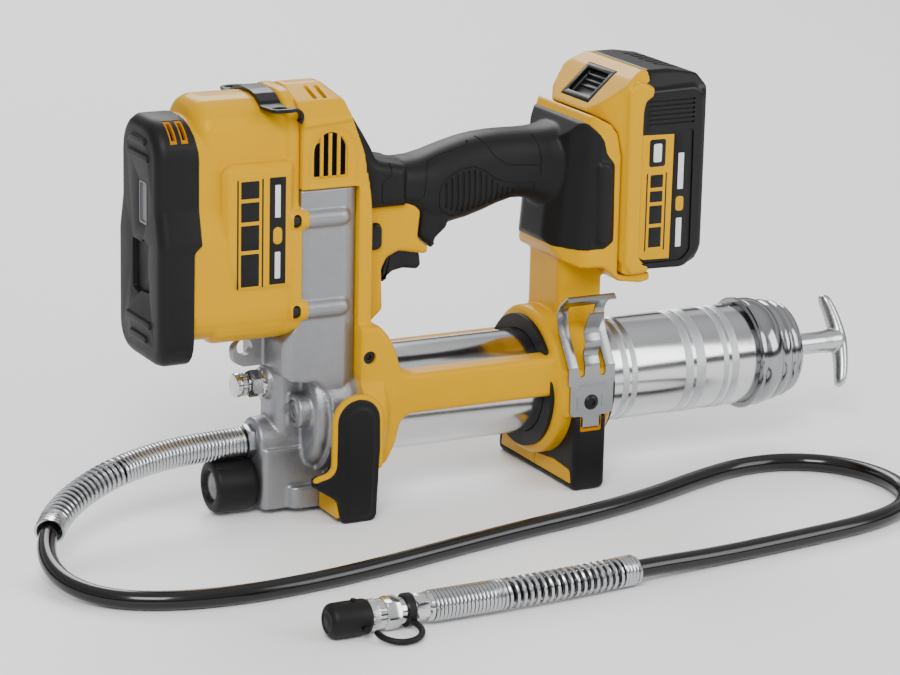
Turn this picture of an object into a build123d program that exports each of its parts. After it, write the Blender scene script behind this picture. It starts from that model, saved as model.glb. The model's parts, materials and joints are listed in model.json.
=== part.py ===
"""Battery powered grease gun: a motor and gear case drive a plunger pump, a screwed-on barrel holds
the grease cartridge, and a hose with spring guards lies in a loop on the floor.

Frame: millimetres, +X to the rear (towards the T-handle), -Y the left side, +Z up. The origin is the
middle of the front foot's underside, and the feet stand on Z = 0."""

from build123d import *
import math
import os

# ---- driving dimensions -------------------------------------------------------------------------
AXIS_Z = 53.6            # height of the barrel's axis
BARREL_R = 28.5          # barrel's outer radius, for a standard 53.5 mm cartridge
BARREL_WALL = 0.8
BARREL_FRONT_X = 1.0     # barrel's threaded front end
BARREL_REAR_X = 254.0
SOCKET_R = 33.0          # aluminium socket that the barrel screws into
COLLAR_R = 41.0          # yellow collars around the barrel
COLLAR_BORE_R = 31.5
SHELL_WALL = 2.6         # moulded plastic walls
RUN_GAP = 0.05           # radial clearance of a shaft that turns in a bore

CASE_FRONT_X, CASE_REAR_X = -30.0, 2.0   # gear case
CASE_HALF_W = 30.0
CASE_BASE_Z, CASE_TOP_Z = 65.0, 178.0
CASE_WALL = 4.0
PUMP_HALF_W = 18.0       # lower pump block
PUMP_FRONT_X = -45.0
PLUNGER_X = -20.0        # vertical pump bore
PLUNGER_R = 4.5
OUTLET_Z = 38.0          # hose outlet
BLEED_Z = 69.5           # bleeder valve
LAMP_Z = 15.6            # work light
HANG_X, HANG_Z, HANG_R = -49.5, 90.5, 4.4

MOTOR_Z = 197.0          # motor shaft
STAGE1_MODULE, STAGE1_PINION, STAGE1_GEAR = 0.8, 14, 56
STAGE2_MODULE, STAGE2_PINION, STAGE2_GEAR = 1.0, 15, 47
IDLER_Z = MOTOR_Z - STAGE1_MODULE * (STAGE1_PINION + STAGE1_GEAR) / 2
CRANK_Z = IDLER_Z - STAGE2_MODULE * (STAGE2_PINION + STAGE2_GEAR) / 2
CRANK_THROW = 9.0        # half of the pump's stroke

FRAME_HALF_W = 31.0      # head shell and spine
GRIP_HALF_W = 17.0
MOUNT_HALF_W = 34.0      # battery mount
PACK_HALF_W = 38.0       # battery pack
FOOT_HALF_W = 44.0
BEAM_OUTER_Y = 35.5
BEAM_LOW_Z, BEAM_TOP_Z = 53.0, 75.0

CLIP_Y, CLIP_THICK = -42.0, 1.2          # hose clip's back face and thickness
CLIP_SCREW_X, CLIP_SCREW_Z, CLIP_SCREW_R = 137.0, 50.0, 2.2

HOSE_D = 9.6
GUARD_D, GUARD_BORE_D = 16.0, 12.0
COUPLER_Y, COUPLER_Z = -192.6, 9.0

# The hose's route, from the outlet to the coupler's nut.
HOSE_ROUTE = [
    (-48, 0, 38), (-74, 0, 38), (-104, -2.5, 36), (-134, -10, 31), (-162, -26, 23),
    (-180.5, -52, 14), (-184, -83, 7.5), (-170.5, -110.5, 5), (-143, -126.5, 5), (-107, -132, 5),
    (-64, -129, 5), (-20, -120.5, 5), (24, -109.3, 5), (68, -99.2, 5), (112, -91, 5),
    (156, -78.5, 5), (196, -62, 5), (227, -52.6, 5), (256.5, -54.6, 5), (280.5, -71, 5),
    (291.5, -98.5, 5), (288, -128, 5), (268.5, -151, 5), (238, -163.5, 5), (190, -170.5, 5),
    (136, -177, 5.2), (92, -183, 7.6), (48, -189.4, 8.6), (4, COUPLER_Y, COUPLER_Z),
    (-37, COUPLER_Y, COUPLER_Z),
]
GUARD_ONE_END = 4        # the first guard ends part of the way along this run
GUARD_TWO_START = 26     # the second one starts part of the way along this run


# ---- small helpers ------------------------------------------------------------------------------
def block(x0, x1, y0, y1, z0, z1):
    return Pos((x0 + x1) / 2, (y0 + y1) / 2, (z0 + z1) / 2) * Box(x1 - x0, y1 - y0, z1 - z0)


def rod_x(x0, x1, r, y=0.0, z=0.0):
    return Pos((x0 + x1) / 2, y, z) * Rot(0, 90, 0) * Cylinder(r, x1 - x0)


def rod_y(y0, y1, r, x=0.0, z=0.0):
    return Pos(x, (y0 + y1) / 2, z) * Rot(90, 0, 0) * Cylinder(r, y1 - y0)


def rod_z(z0, z1, r, x=0.0, y=0.0):
    return Pos(x, y, (z0 + z1) / 2) * Cylinder(r, z1 - z0)


def hex_x(x0, x1, across_flats, y=0.0, z=0.0):
    """A hexagonal bar along X with one flat on top."""
    profile = Plane.YZ * RegularPolygon(across_flats / math.sqrt(3), 6, rotation=0)
    return Pos(x0, y, z) * extrude(profile, amount=x1 - x0, dir=(1, 0, 0))


def slab(points, y0, y1):
    """A plate between two Y planes, with its outline given as (x, z) points."""
    face = make_face(Polyline([(x, 0, z) for x, z in points], close=True))
    return Pos(0, y1, 0) * extrude(face, amount=y1 - y0, dir=(0, -1, 0))


def turned_x(profile, y=0.0, z=0.0):
    """A solid of revolution about X, with its profile given as (x, r) points."""
    face = make_face(Polyline([(x, 0, r) for x, r in profile], close=True))
    return Pos(0, y, z) * revolve(face, Axis.X)


def rounded(solid, axis, radius):
    """The solid with all its edges along one axis rounded."""
    return fillet(solid.edges().filter_by(axis), radius)


def left_half(solid):
    return solid & block(-400, 400, -200, 0, -50, 300)


def right_half(solid):
    return solid & block(-400, 400, 0, 200, -50, 300)


def spur_gear(teeth, module, x0, x1, z, tooth_at_deg, bore_r=0.0):
    """A 20 degree involute gear about X, with one tooth centred at an angle from +Y towards +Z."""
    pressure = math.radians(20)
    pitch_r = teeth * module / 2
    base_r = pitch_r * math.cos(pressure)
    tip_r, root_r = pitch_r + 0.8 * module, pitch_r - 1.1 * module
    backlash = 0.12
    half_pitch_angle = (math.pi * module / 2 - backlash) / (2 * pitch_r)
    involute = lambda r: math.tan(math.acos(base_r / r)) - math.acos(base_r / r)
    flank_start = max(base_r * 1.0005, root_r)
    radii = [flank_start + (tip_r - flank_start) * k / 3 for k in range(4)]
    points = []
    for tooth in range(teeth):
        centre = math.radians(tooth_at_deg) + tooth * 2 * math.pi / teeth
        flank = [(r, half_pitch_angle + involute(pitch_r) - involute(r)) for r in radii]
        side = [(root_r, flank[0][1])] * (root_r < flank_start - 0.01) + flank
        for r, half in side:
            points.append((r, centre - half))
        for r, half in reversed(side):
            points.append((r, centre + half))
    outline = Polyline([(0, r * math.cos(t), r * math.sin(t)) for r, t in points], close=True)
    gear = Pos(x0, 0, z) * extrude(make_face(outline), amount=x1 - x0, dir=(1, 0, 0))
    return gear - rod_x(x0, x1, bore_r, z=z) if bore_r else gear


def corner_radii(route):
    """The largest arc that each corner of a route has room for."""
    points = [Vector(*p) for p in route]
    radii = []
    for a, b, c in zip(points, points[1:], points[2:]):
        turn = math.radians((b - a).get_angle(c - b))
        radii.append(0.45 * min((b - a).length, (c - b).length) / math.tan(turn / 2))
    return radii


def tube_along(route, radii, outer_d, bore_d=0.0):
    """A round tube along straight runs joined by tangent arcs."""
    path = FilletPolyline(*route, radius=radii)
    section = Plane(origin=path @ 0, z_dir=path % 0) * Circle(outer_d / 2)
    tube = sweep(section, path=path)
    if bore_d:
        bore = Plane(origin=path @ 0, z_dir=path % 0) * Circle(bore_d / 2)
        tube -= sweep(bore, path=path)
    return tube, path.length


# ---- barrel, follower and rod -------------------------------------------------------------------
def barrel_tube():
    tube = rod_x(BARREL_FRONT_X, BARREL_REAR_X, BARREL_R, z=AXIS_Z)
    return tube - rod_x(BARREL_FRONT_X, BARREL_REAR_X, BARREL_R - BARREL_WALL, z=AXIS_Z)


ROD_R = 4.0
CAP_END_X = 282.5


def barrel_end_cap():
    """The spun steel cap: a flange, two swelled bands and small beads at its end."""
    outside = [
        (250, 29.4), (253.2, 29.6), (253.8, 31.4), (256.2, 31.4), (257, 30.0), (259, 30.7),
        (264, 31.0), (267.5, 30.5), (268.5, 29.7), (269.5, 30.2), (273, 29.8), (275.5, 28.6),
        (276.3, 27.9), (277.3, 28.3), (278.6, 27.7), (279.4, 27.0), (280.4, 27.2),
        (281.6, 26.4), (CAP_END_X, 25.0), (CAP_END_X, 9.0), (CAP_END_X + 2.3, 9.0),
    ]
    inside = [(CAP_END_X + 2.3, ROD_R + RUN_GAP), (CAP_END_X - 1.2, ROD_R + RUN_GAP),
              (CAP_END_X - 1.2, 23.5), (275, 26.6), (268, 28.4), (256, 28.5), (250, 28.5)]
    return turned_x(outside + inside, z=AXIS_Z)


FOLLOWER_X = 14.0


def follower_cup():
    """The rubber piston that pushes the grease: a disc with two lips."""
    lip_r = BARREL_R - BARREL_WALL - 0.3
    cup = turned_x([
        (FOLLOWER_X, ROD_R + RUN_GAP), (FOLLOWER_X, 20), (FOLLOWER_X - 3, lip_r), (FOLLOWER_X, lip_r),
        (FOLLOWER_X + 4, 24), (FOLLOWER_X + 8, lip_r), (FOLLOWER_X + 11, lip_r), (FOLLOWER_X + 9, 22),
        (FOLLOWER_X + 9, ROD_R + RUN_GAP),
    ], z=AXIS_Z)
    return cup


def follower_plate():
    plate = rod_x(FOLLOWER_X + 9, FOLLOWER_X + 10.5, 20.0, z=AXIS_Z)
    hub = rod_x(FOLLOWER_X + 10.5, FOLLOWER_X + 16, 8.0, z=AXIS_Z)
    return plate + hub - rod_x(FOLLOWER_X, FOLLOWER_X + 20, ROD_R + RUN_GAP, z=AXIS_Z)


SPRING_FIXED_X = 262.0
SPRING_WIRE_R = 1.1


def follower_spring():
    """The long compression spring between the follower plate and the end cap."""
    front = FOLLOWER_X + 10.5 + SPRING_WIRE_R + 0.1
    length = SPRING_FIXED_X - SPRING_WIRE_R - front
    coil = Helix(pitch=length / 13, height=length, radius=18.0)
    wire = sweep(Plane(origin=coil @ 0, z_dir=coil % 0) * Circle(SPRING_WIRE_R), path=coil)
    return Pos(front, 0, AXIS_Z) * Rot(0, 90, 0) * wire


STEM_FRONT_X = 285.1
STEM_R = 6.15
T_BAR_X = 324.5
T_BAR_HALF = 27.5
T_BAR_TILT = 32.5        # degrees that the bar leans from the vertical


def follower_rod():
    """The pull rod, with the hexagonal nut that holds the follower at its front end."""
    rod = rod_x(FOLLOWER_X - 4, STEM_FRONT_X + 18, ROD_R, z=AXIS_Z)
    return rod + hex_x(FOLLOWER_X - 8, FOLLOWER_X - 4, 12, z=AXIS_Z)


def t_handle():
    """A cast handle: a round stem and a tapering bar that bows to the rear."""
    stem = turned_x([(STEM_FRONT_X, 0), (STEM_FRONT_X, STEM_R), (T_BAR_X - 10, STEM_R - 0.3),
                     (T_BAR_X - 3, STEM_R + 1.2), (T_BAR_X, STEM_R + 1.2), (T_BAR_X, 0)])
    stations = [(-1.0, -3.2, 2.0, 2.0), (-0.93, -2.9, 3.6, 3.2), (-0.5, -0.9, 4.3, 3.7),
                (0, 0, 4.6, 4.2), (0.5, -0.9, 4.3, 3.7), (0.93, -2.9, 3.6, 3.2), (1.0, -3.2, 2.0, 2.0)]
    sections = [
        Pos(T_BAR_X + bow, 0, share * T_BAR_HALF) * Ellipse(depth, width)
        for share, bow, depth, width in stations
    ]
    bar = loft(sections)
    handle = stem + bar
    handle = Pos(0, 0, AXIS_Z) * Rot(-T_BAR_TILT, 0, 0) * handle
    return handle - rod_x(STEM_FRONT_X, STEM_FRONT_X + 18, ROD_R, z=AXIS_Z)


# ---- pump casting -------------------------------------------------------------------------------
GEAR_ROOM_R = 25.4       # room around the first gear, which is the widest
PINION_ROOM_R = 8.0
DOME_R = GEAR_ROOM_R + 3.0
PUMP_BORE_BASE_Z = 12.0
ROOM_BASE_Z = 106.0      # floor of the gear room
SEAL_BASE_Z = 102.0
SEAL_R = 7.0
SCREW_RIB_Z = (115.0, 163.0)
SCREW_RIB_R = 5.0


def screw_places():
    """The (y, z) positions of the four case screws."""
    return [(side * (CASE_HALF_W - 2.4), z) for side in (-1, 1) for z in SCREW_RIB_Z]


def gear_case_outside():
    case = block(CASE_FRONT_X, CASE_REAR_X, -CASE_HALF_W, CASE_HALF_W, 96, CASE_TOP_Z)
    waist = slab([(-27, 79), (-18, 72), (-5, 67), (CASE_REAR_X, 65), (CASE_REAR_X, 97),
                  (CASE_FRONT_X, 97), (CASE_FRONT_X, 84)], -CASE_HALF_W, CASE_HALF_W)
    lower = rounded(block(-24, CASE_REAR_X, -29, 29, 24, 90), Axis.X, 9)
    dome = rod_x(CASE_FRONT_X, CASE_REAR_X, DOME_R, z=IDLER_Z)
    tower = rod_x(CASE_FRONT_X, CASE_REAR_X, PINION_ROOM_R + 3, z=MOTOR_Z)
    ribs = [rod_x(CASE_FRONT_X, -3, SCREW_RIB_R, y=y, z=z) for y, z in screw_places()]
    return case + waist + lower + dome + tower + ribs


def pump_block():
    """The lower block that holds the pump bore, the hose outlet and the work light."""
    low = rounded(block(PUMP_FRONT_X, CASE_REAR_X, -PUMP_HALF_W, PUMP_HALF_W, 4, 46), Axis.Z, 6)
    high = rounded(block(-34, -5, -20, 20, 40, 97), Axis.Z, 5)
    outlet = rod_x(PUMP_FRONT_X, -20, 11.8, z=OUTLET_Z)
    bleeder = rod_x(-40, -20, 9.0, z=BLEED_Z)
    plug = rod_x(-29, -15, 9.0, y=-18, z=58)
    ear = slab([(-32, 78), (-46, 79), (-57, 86), (-58, 94), (-52, 99), (-44, 99), (-32, 99)], -2.5, 2.5)
    ear = fillet(ear.edges().filter_by(Axis.Y), 2.0)
    return low + high + outlet + bleeder + plug + ear


def gear_room():
    """The space inside the gear case, open to the front."""
    front, back = CASE_FRONT_X - 1, CASE_REAR_X - CASE_WALL
    room = block(front, back, -26, 26, ROOM_BASE_Z, 166)
    room += rod_x(front, back, GEAR_ROOM_R, z=IDLER_Z)
    room += rod_x(front, back, PINION_ROOM_R, z=MOTOR_Z)
    return room


def pump_casting():
    casting = gear_case_outside() + pump_block()
    casting += rod_x(0, 12, SOCKET_R, z=AXIS_Z)
    casting -= gear_room()
    casting -= rod_x(BARREL_FRONT_X, 12, BARREL_R + 0.1, z=AXIS_Z)
    casting -= rod_z(PUMP_BORE_BASE_Z, 107, PLUNGER_R + RUN_GAP, x=PLUNGER_X)
    casting -= rod_z(3, PUMP_BORE_BASE_Z, 6.0, x=PLUNGER_X)
    casting -= rod_z(SEAL_BASE_Z, ROOM_BASE_Z + 1, SEAL_R, x=PLUNGER_X)
    casting -= rod_x(PLUNGER_X - 10, 0.5, 4.0, z=AXIS_Z)
    casting -= rod_x(PUMP_FRONT_X - 1, PLUNGER_X, 4.0, z=OUTLET_Z)
    casting -= rod_x(-41, PLUNGER_X, 3.0, z=BLEED_Z)
    casting -= rod_x(-30, PLUNGER_X, 6.0, y=-18, z=58)
    casting -= rod_y(-3, 3, HANG_R, x=HANG_X, z=HANG_Z)
    casting -= rod_x(CASE_REAR_X - CASE_WALL - 1, CASE_REAR_X - 1.5, 4.0 + RUN_GAP, z=IDLER_Z)
    casting -= rod_x(CASE_REAR_X - CASE_WALL - 1, CASE_REAR_X - 1.0, 6.0 + RUN_GAP, z=CRANK_Z)
    for y, z in screw_places():
        casting -= rod_x(CASE_FRONT_X - 1, -8, 2.0, y=y, z=z)
    return casting


def bearing_plate():
    """The plate that closes the gear room and carries the motor's rear bearing."""
    plate = block(-34, CASE_FRONT_X, -24, 24, 104, 176)
    plate += rod_x(-34, CASE_FRONT_X, DOME_R - 1, z=IDLER_Z) + rod_x(-38, CASE_FRONT_X, 10.5, z=MOTOR_Z)
    plate &= peanut(-40, CASE_FRONT_X, SHELL_WALL + 0.1, top_z=229)
    plate -= rod_x(-38, CASE_FRONT_X, 8.0, z=MOTOR_Z)
    plate -= rod_x(-33, CASE_FRONT_X + 1, 4.0 + RUN_GAP, z=IDLER_Z)
    for y, z in screw_places():
        plate -= rod_x(-35, CASE_FRONT_X + 1, 2.1, y=y, z=z)
    return plate - rod_x(-34, CASE_FRONT_X, 12, z=CRANK_Z - 18)


def case_screws():
    """Four long screws that pass through the motor housing's flange into the gear case."""
    screws = []
    for y, z in screw_places():
        screws.append(rod_x(-34, -9, 1.95, y=y, z=z) + rod_x(-37, -34, 3.4, y=y, z=z)
                      - hex_x(-38, -35, 3.0, y=y, z=z))
    return Compound(screws)


# ---- pump internals -----------------------------------------------------------------------------
def pump_plunger():
    return rod_z(22, 104, PLUNGER_R, x=PLUNGER_X)


def plunger_yoke():
    """The slotted plate that the crank pin drives: its slot lies across the stroke."""
    plate = block(PLUNGER_X - 1.5, PLUNGER_X + 1.5, -16, 16, CRANK_Z - 8, CRANK_Z + 8)
    plate -= block(PLUNGER_X - 2, PLUNGER_X + 2, -13.2, 13.2, CRANK_Z - 4.2, CRANK_Z + 4.2)
    plate += block(PLUNGER_X - 1.5, PLUNGER_X + 1.5, -4, 4, 106, CRANK_Z - 8)
    socket = rod_z(104, 110, PLUNGER_R, x=PLUNGER_X)
    return plate + socket


def plunger_seal():
    ring = rod_z(SEAL_BASE_Z, ROOM_BASE_Z, SEAL_R, x=PLUNGER_X)
    return ring - rod_z(SEAL_BASE_Z, ROOM_BASE_Z, PLUNGER_R + 0.08, x=PLUNGER_X)


def pump_end_plug():
    head = rod_z(0.8, 4, 9.5, x=PLUNGER_X) - rod_z(0, 2.6, 3.5, x=PLUNGER_X)
    return head + rod_z(4, PUMP_BORE_BASE_Z - 1, 6.0, x=PLUNGER_X)


def check_valve():
    """The outlet's ball and its spring."""
    coil = Helix(pitch=1.6, height=6.4, radius=2.6)
    wire = sweep(Plane(origin=coil @ 0, z_dir=coil % 0) * Circle(0.4), path=coil)
    spring = Pos(-42.0, 0, OUTLET_Z) * Rot(0, 90, 0) * wire
    return Compound([Pos(-31, 0, OUTLET_Z) * Sphere(3.2), spring])


def outlet_nut():
    """The swivel nut that holds the hose, with its stub in the casting."""
    nut = hex_x(-48, PUMP_FRONT_X, 16.0, z=OUTLET_Z)
    stub = rod_x(PUMP_FRONT_X, -43.2, 4.0, z=OUTLET_Z)
    return nut + stub


def side_plug():
    plug = rod_x(-30, -22, 6.0, y=-18, z=58)
    return plug - hex_x(-31, -26, 5.0, y=-18, z=58)


def bleeder_body():
    hexagon = hex_x(-46, -40, 13.0, z=BLEED_Z)
    stub = rod_x(-40, -30, 3.0, z=BLEED_Z)
    pin = rod_x(-53, -46, 3.0, z=BLEED_Z)
    return hexagon + stub + pin


def bleeder_knob():
    knob = rod_x(-56, -47.5, 6.5, z=BLEED_Z) + rod_x(-47.5, -46.4, 4.6, z=BLEED_Z)
    return knob - rod_x(-53.5, -46, 3.0 + RUN_GAP, z=BLEED_Z)


# ---- work light ---------------------------------------------------------------------------------
LAMP_R = 14.2


def lamp_boot():
    boot = rod_x(-68, PUMP_FRONT_X, LAMP_R, z=LAMP_Z)
    boot = fillet(boot.edges().sort_by(Axis.X)[0], 2.0)
    boot -= rod_x(-71, -62, 9.0, z=LAMP_Z)
    return boot - rod_x(-62, -49, 7.5, z=LAMP_Z)


def lamp_lens():
    return rod_x(-62, -59.5, 7.5, z=LAMP_Z)


def lamp_board():
    """The round board behind the lens, with its light-emitting diode."""
    return rod_x(-54, -52.4, 7.4, z=LAMP_Z) + rod_x(-55.4, -54, 2.2, z=LAMP_Z)


# ---- motor --------------------------------------------------------------------------------------
MOTOR_FRONT_X, MOTOR_REAR_X = -83.0, -50.0
SHAFT_R = 2.5
BEARING_R = 7.9


def motor_can():
    """The motor's can, with its two magnets fixed inside."""
    can = rod_x(MOTOR_FRONT_X, MOTOR_REAR_X, 21.5, z=MOTOR_Z)
    can -= rod_x(MOTOR_FRONT_X, MOTOR_REAR_X, 20.0, z=MOTOR_Z)
    magnets = rod_x(-80, -53, 20.0, z=MOTOR_Z) - rod_x(-80, -53, 17.0, z=MOTOR_Z)
    return can + (magnets - block(-90, -50, -30, 30, MOTOR_Z - 4, MOTOR_Z + 4))


def rotor_core():
    """The laminated core, with ten winding slots."""
    core = rod_x(-79, -54, 16.0, z=MOTOR_Z)
    for angle in range(0, 360, 36):
        core -= Pos(0, 0, MOTOR_Z) * Rot(angle, 0, 0) * block(-80, -53, -0.9, 0.9, 9, 17)
    return core - rod_x(-80, -53, SHAFT_R, z=MOTOR_Z)


def commutator():
    return rod_x(-94.5, -82, 7.0, z=MOTOR_Z) - rod_x(-95, -81, SHAFT_R, z=MOTOR_Z)


def motor_shaft():
    """The motor's shaft, with its pinion cut on the end."""
    return rod_x(-99.5, -21, SHAFT_R, z=MOTOR_Z) + spur_gear(
        STAGE1_PINION, STAGE1_MODULE, -29.5, -21.0, MOTOR_Z, -90)


def cooling_fan():
    blades = 11
    fan = rod_x(-48, -40, 5.0, z=MOTOR_Z) + rod_x(-41.5, -40, 19.0, z=MOTOR_Z)
    for index in range(blades):
        fan += Pos(0, 0, MOTOR_Z) * Rot(index * 360 / blades, 0, 0) * block(-48, -41, -0.6, 0.6, 4, 19)
    return fan - rod_x(-49, -39, SHAFT_R, z=MOTOR_Z)


def motor_bearings():
    rings = []
    for x0, x1 in ((-99.5, -96.5), (-37.5, -32.5)):
        rings.append(rod_x(x0, x1, BEARING_R, z=MOTOR_Z) - rod_x(x0, x1, SHAFT_R + RUN_GAP, z=MOTOR_Z))
    return Compound(rings)


def brush_holder():
    """The brush plate, with a brush at each side of the commutator."""
    plate = rod_x(-96, -95, 16.8, z=MOTOR_Z) - rod_x(-96, -95, 8.5, z=MOTOR_Z)
    brush = block(-95, -90, 7.3, 16.3, MOTOR_Z - 3, MOTOR_Z + 3)
    return plate + brush + mirror(brush, Plane.XZ)


# ---- gear train ---------------------------------------------------------------------------------
def idler_gear():
    return spur_gear(STAGE1_GEAR, STAGE1_MODULE, -29.3, -23.0, IDLER_Z, 90 + 180 / STAGE1_GEAR, 4.0)


def idler_shaft():
    """The idler's shaft, with the second pinion cut on it."""
    return rod_x(-32.8, 0.3, 4.0, z=IDLER_Z) + spur_gear(
        STAGE2_PINION, STAGE2_MODULE, -15.0, -6.0, IDLER_Z, -90)


def crank_gear():
    return spur_gear(STAGE2_GEAR, STAGE2_MODULE, -14.0, -7.0, CRANK_Z, 90 + 180 / STAGE2_GEAR, 6.0)


def crank_shaft():
    """The crank's shaft. Its pin stands off the gear's front face, beside the yoke."""
    shaft = rod_x(-14.0, 0.8, 6.0, z=CRANK_Z)
    web = rod_x(-17.0, -14.0, 15.0, z=CRANK_Z)
    pin = rod_x(-18.1, -17.0, 4.0, y=CRANK_THROW, z=CRANK_Z)
    return shaft + web + pin


# ---- motor housing and front cap ----------------------------------------------------------------
HOUSING_FRONT_X = -103.5
CAP_EDGE_X = -92.0       # edge of the rubber cap
CAP_TONGUE_X = -86.0     # edge of its tongues at the housing's sides
CAP_WALL = 3.2
UPPER_HALF_W, LOWER_HALF_W = 25.5, 30.0


def peanut(x0, x1, inset, top_z=226.0, base_z=101.0):
    """The housing's section: a narrower lobe over a wider one, both with round corners."""
    up, low = UPPER_HALF_W - inset, LOWER_HALF_W - inset
    upper = rounded(block(x0, x1, -up, up, 150, top_z - inset), Axis.X, 20 - inset)
    lower = rounded(block(x0, x1, -low, low, base_z + inset, 172), Axis.X, 16 - inset)
    return upper + lower


def housing_body():
    """The motor housing's body, stepped in at its front for the rubber cap."""
    body = peanut(CAP_EDGE_X, -38, 0) - block(CAP_EDGE_X - 1, CAP_TONGUE_X, -40, 40, 155, 204)
    return body + peanut(HOUSING_FRONT_X, CAP_TONGUE_X, CAP_WALL, top_z=220, base_z=93)


def motor_housing():
    """The yellow shell over the motor, closed at its front, where the rubber cap covers it."""
    nose_end, bearing_x = CAP_TONGUE_X + SHELL_WALL, -96.0
    shell = housing_body() + peanut(-38, CASE_FRONT_X, 0, top_z=229)
    for y, z in screw_places():
        shell += rod_x(-38, -26, 5.6, y=y, z=z)
    shell -= peanut(nose_end, -38, SHELL_WALL)
    shell -= peanut(HOUSING_FRONT_X + SHELL_WALL, nose_end, CAP_WALL + SHELL_WALL, top_z=220, base_z=93)
    shell -= peanut(-38, CASE_FRONT_X, SHELL_WALL, top_z=229)
    shell += rod_x(HOUSING_FRONT_X + 1, bearing_x, 10.5, z=MOTOR_Z)
    shell -= rod_x(-99.5, bearing_x, BEARING_R, z=MOTOR_Z)
    shell -= gear_case_outside()
    for y, z in screw_places():
        shell -= rod_x(-39, -34, 3.6, y=y, z=z) + rod_x(-34, -26, 2.1, y=y, z=z)
    return shell


def motor_cap():
    """The black rubber cap: a cup over the housing's front, lower at its foot than the housing."""
    outside = peanut(-109, CAP_TONGUE_X, 0, top_z=217, base_z=90)
    outside -= block(CAP_EDGE_X, -80, -40, 40, 80, 155)
    outside = fillet(outside.faces().sort_by(Axis.X)[0].edges(), 5.5)
    return outside - housing_body()


def strap_bracket():
    """The stamped steel lug plate that wraps over the motor housing, with a slot at each side."""
    over = peanut(-47, -33, -2.2, top_z=229) & block(-60, 0, -40, 40, 212, 240)
    strap = over - peanut(-60, -20, -0.1, top_z=229)
    lug = rounded(block(-50, -30, 25.7, 38, 211, 213), Axis.Z, 4) - block(-44, -36, 30, 34.5, 205, 220)
    return strap + lug + mirror(lug, Plane.XZ)


# ---- main frame ---------------------------------------------------------------------------------
HEAD_OUTLINE = [
    (-30, 178), (-30, 229.5), (-26, 233), (-15, 234), (-9, 230), (-1, 214), (8, 196),
    (13, 178), (15, 163), (15, 64), (2, 64), (2, 178),
]
TRIGGER_HOUSE_OUTLINE = [
    (13, 166), (31, 165), (43, 163), (46, 157), (45, 143), (51, 138), (51, 134), (34, 137),
    (27, 134), (24, 128), (25, 106), (18, 101), (13, 101),
]
MOUNT_OUTLINE = [
    (119, 150), (120, 138), (122.5, 131), (127, 125), (134, 122), (147, 121.5), (157, 113),
    (171, 111), (176, 112), (176, 116.4), (156.2, 116.4), (156.2, 182), (153.5, 194),
    (149.5, 199.5), (142, 203.6), (137.5, 204.8), (133, 199), (127, 190), (121, 176),
]
# (x, top z, bottom z) of the grip, outside the rubber
GRIP_STATIONS = [
    (13, 200, 163), (26, 188, 160), (38, 186, 158), (48, 187, 152), (56, 189, 142), (68, 193, 147),
    (84, 196, 151.5), (97, 196.3, 156.5), (107, 197, 158), (119, 197, 155), (130, 198, 147),
]


def grip_solid(inset):
    """The grip's flowing bar, with its corners cut off along its length."""
    tops = [(x, top - inset) for x, top, _ in GRIP_STATIONS]
    bottoms = [(x, bottom + inset) for x, _, bottom in GRIP_STATIONS]
    half_w = GRIP_HALF_W - inset
    bar = slab(tops + bottoms[::-1], -half_w, half_w)
    long_edges = [e for e in bar.edges() if abs(e.center().Y) > half_w - 0.01
                  and 13.5 < e.center().X < 129.5]
    return chamfer(long_edges, 6.0)


GRIP_RUBBER = 3.0


def frame_outside():
    head = slab(HEAD_OUTLINE, -FRAME_HALF_W, FRAME_HALF_W)
    trigger_house = slab(TRIGGER_HOUSE_OUTLINE, -15, 15)
    mount = slab(MOUNT_OUTLINE, -MOUNT_HALF_W, MOUNT_HALF_W)
    column = rounded(block(129, 155, -19.5, 19.5, 60, 125), Axis.Z, 5)
    front_collar = rod_x(2, 18, COLLAR_R, z=AXIS_Z)
    rear_collar = rod_x(118, 153, COLLAR_R, z=AXIS_Z)
    beams = [block(10, 125, min(s * 28, s * BEAM_OUTER_Y), max(s * 28, s * BEAM_OUTER_Y),
                   BEAM_LOW_Z, BEAM_TOP_Z) for s in (-1, 1)]
    clip_pad = block(122.5, 151.5, CLIP_Y, -36, 42.5, 68)
    frame = head + trigger_house + mount + column + front_collar + rear_collar + clip_pad
    return frame + beams + grip_solid(GRIP_RUBBER)


def frame_inside():
    """The hollow of the frame's head, trigger house, grip, battery mount and column."""
    w = SHELL_WALL
    head = slab([(-31, 178.5), (-31, 227), (-25, 230.2), (-15.5, 231), (-11, 228), (-3.5, 212.5),
                 (5.5, 194.5), (10.4, 177), (12.4, 162), (12.4, 100), (2, 100), (2, 178.5)],
                -FRAME_HALF_W + w, FRAME_HALF_W - w)
    trigger_house = slab([(12, 162), (30, 162), (41, 160), (43.4, 156), (42.4, 144), (38, 139.5),
                          (30, 138.5), (24.5, 136), (21.4, 129), (22.4, 108), (12, 106)], -12.4, 12.4)
    mount = slab([(122.5, 150), (123.5, 138.5), (128, 128.5), (135, 124.6), (146, 124), (153.6, 128),
                  (153.6, 181), (151, 193), (147.5, 197.5), (141, 201), (138.6, 201.4), (130, 188.5), (124.5, 175)],
                 -MOUNT_HALF_W + GRIP_RUBBER + w, MOUNT_HALF_W - GRIP_RUBBER - w)
    column = block(131.5, 152.5, -17, 17, 98, 126)
    return head + trigger_house + mount + column + grip_solid(GRIP_RUBBER + w)


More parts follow.
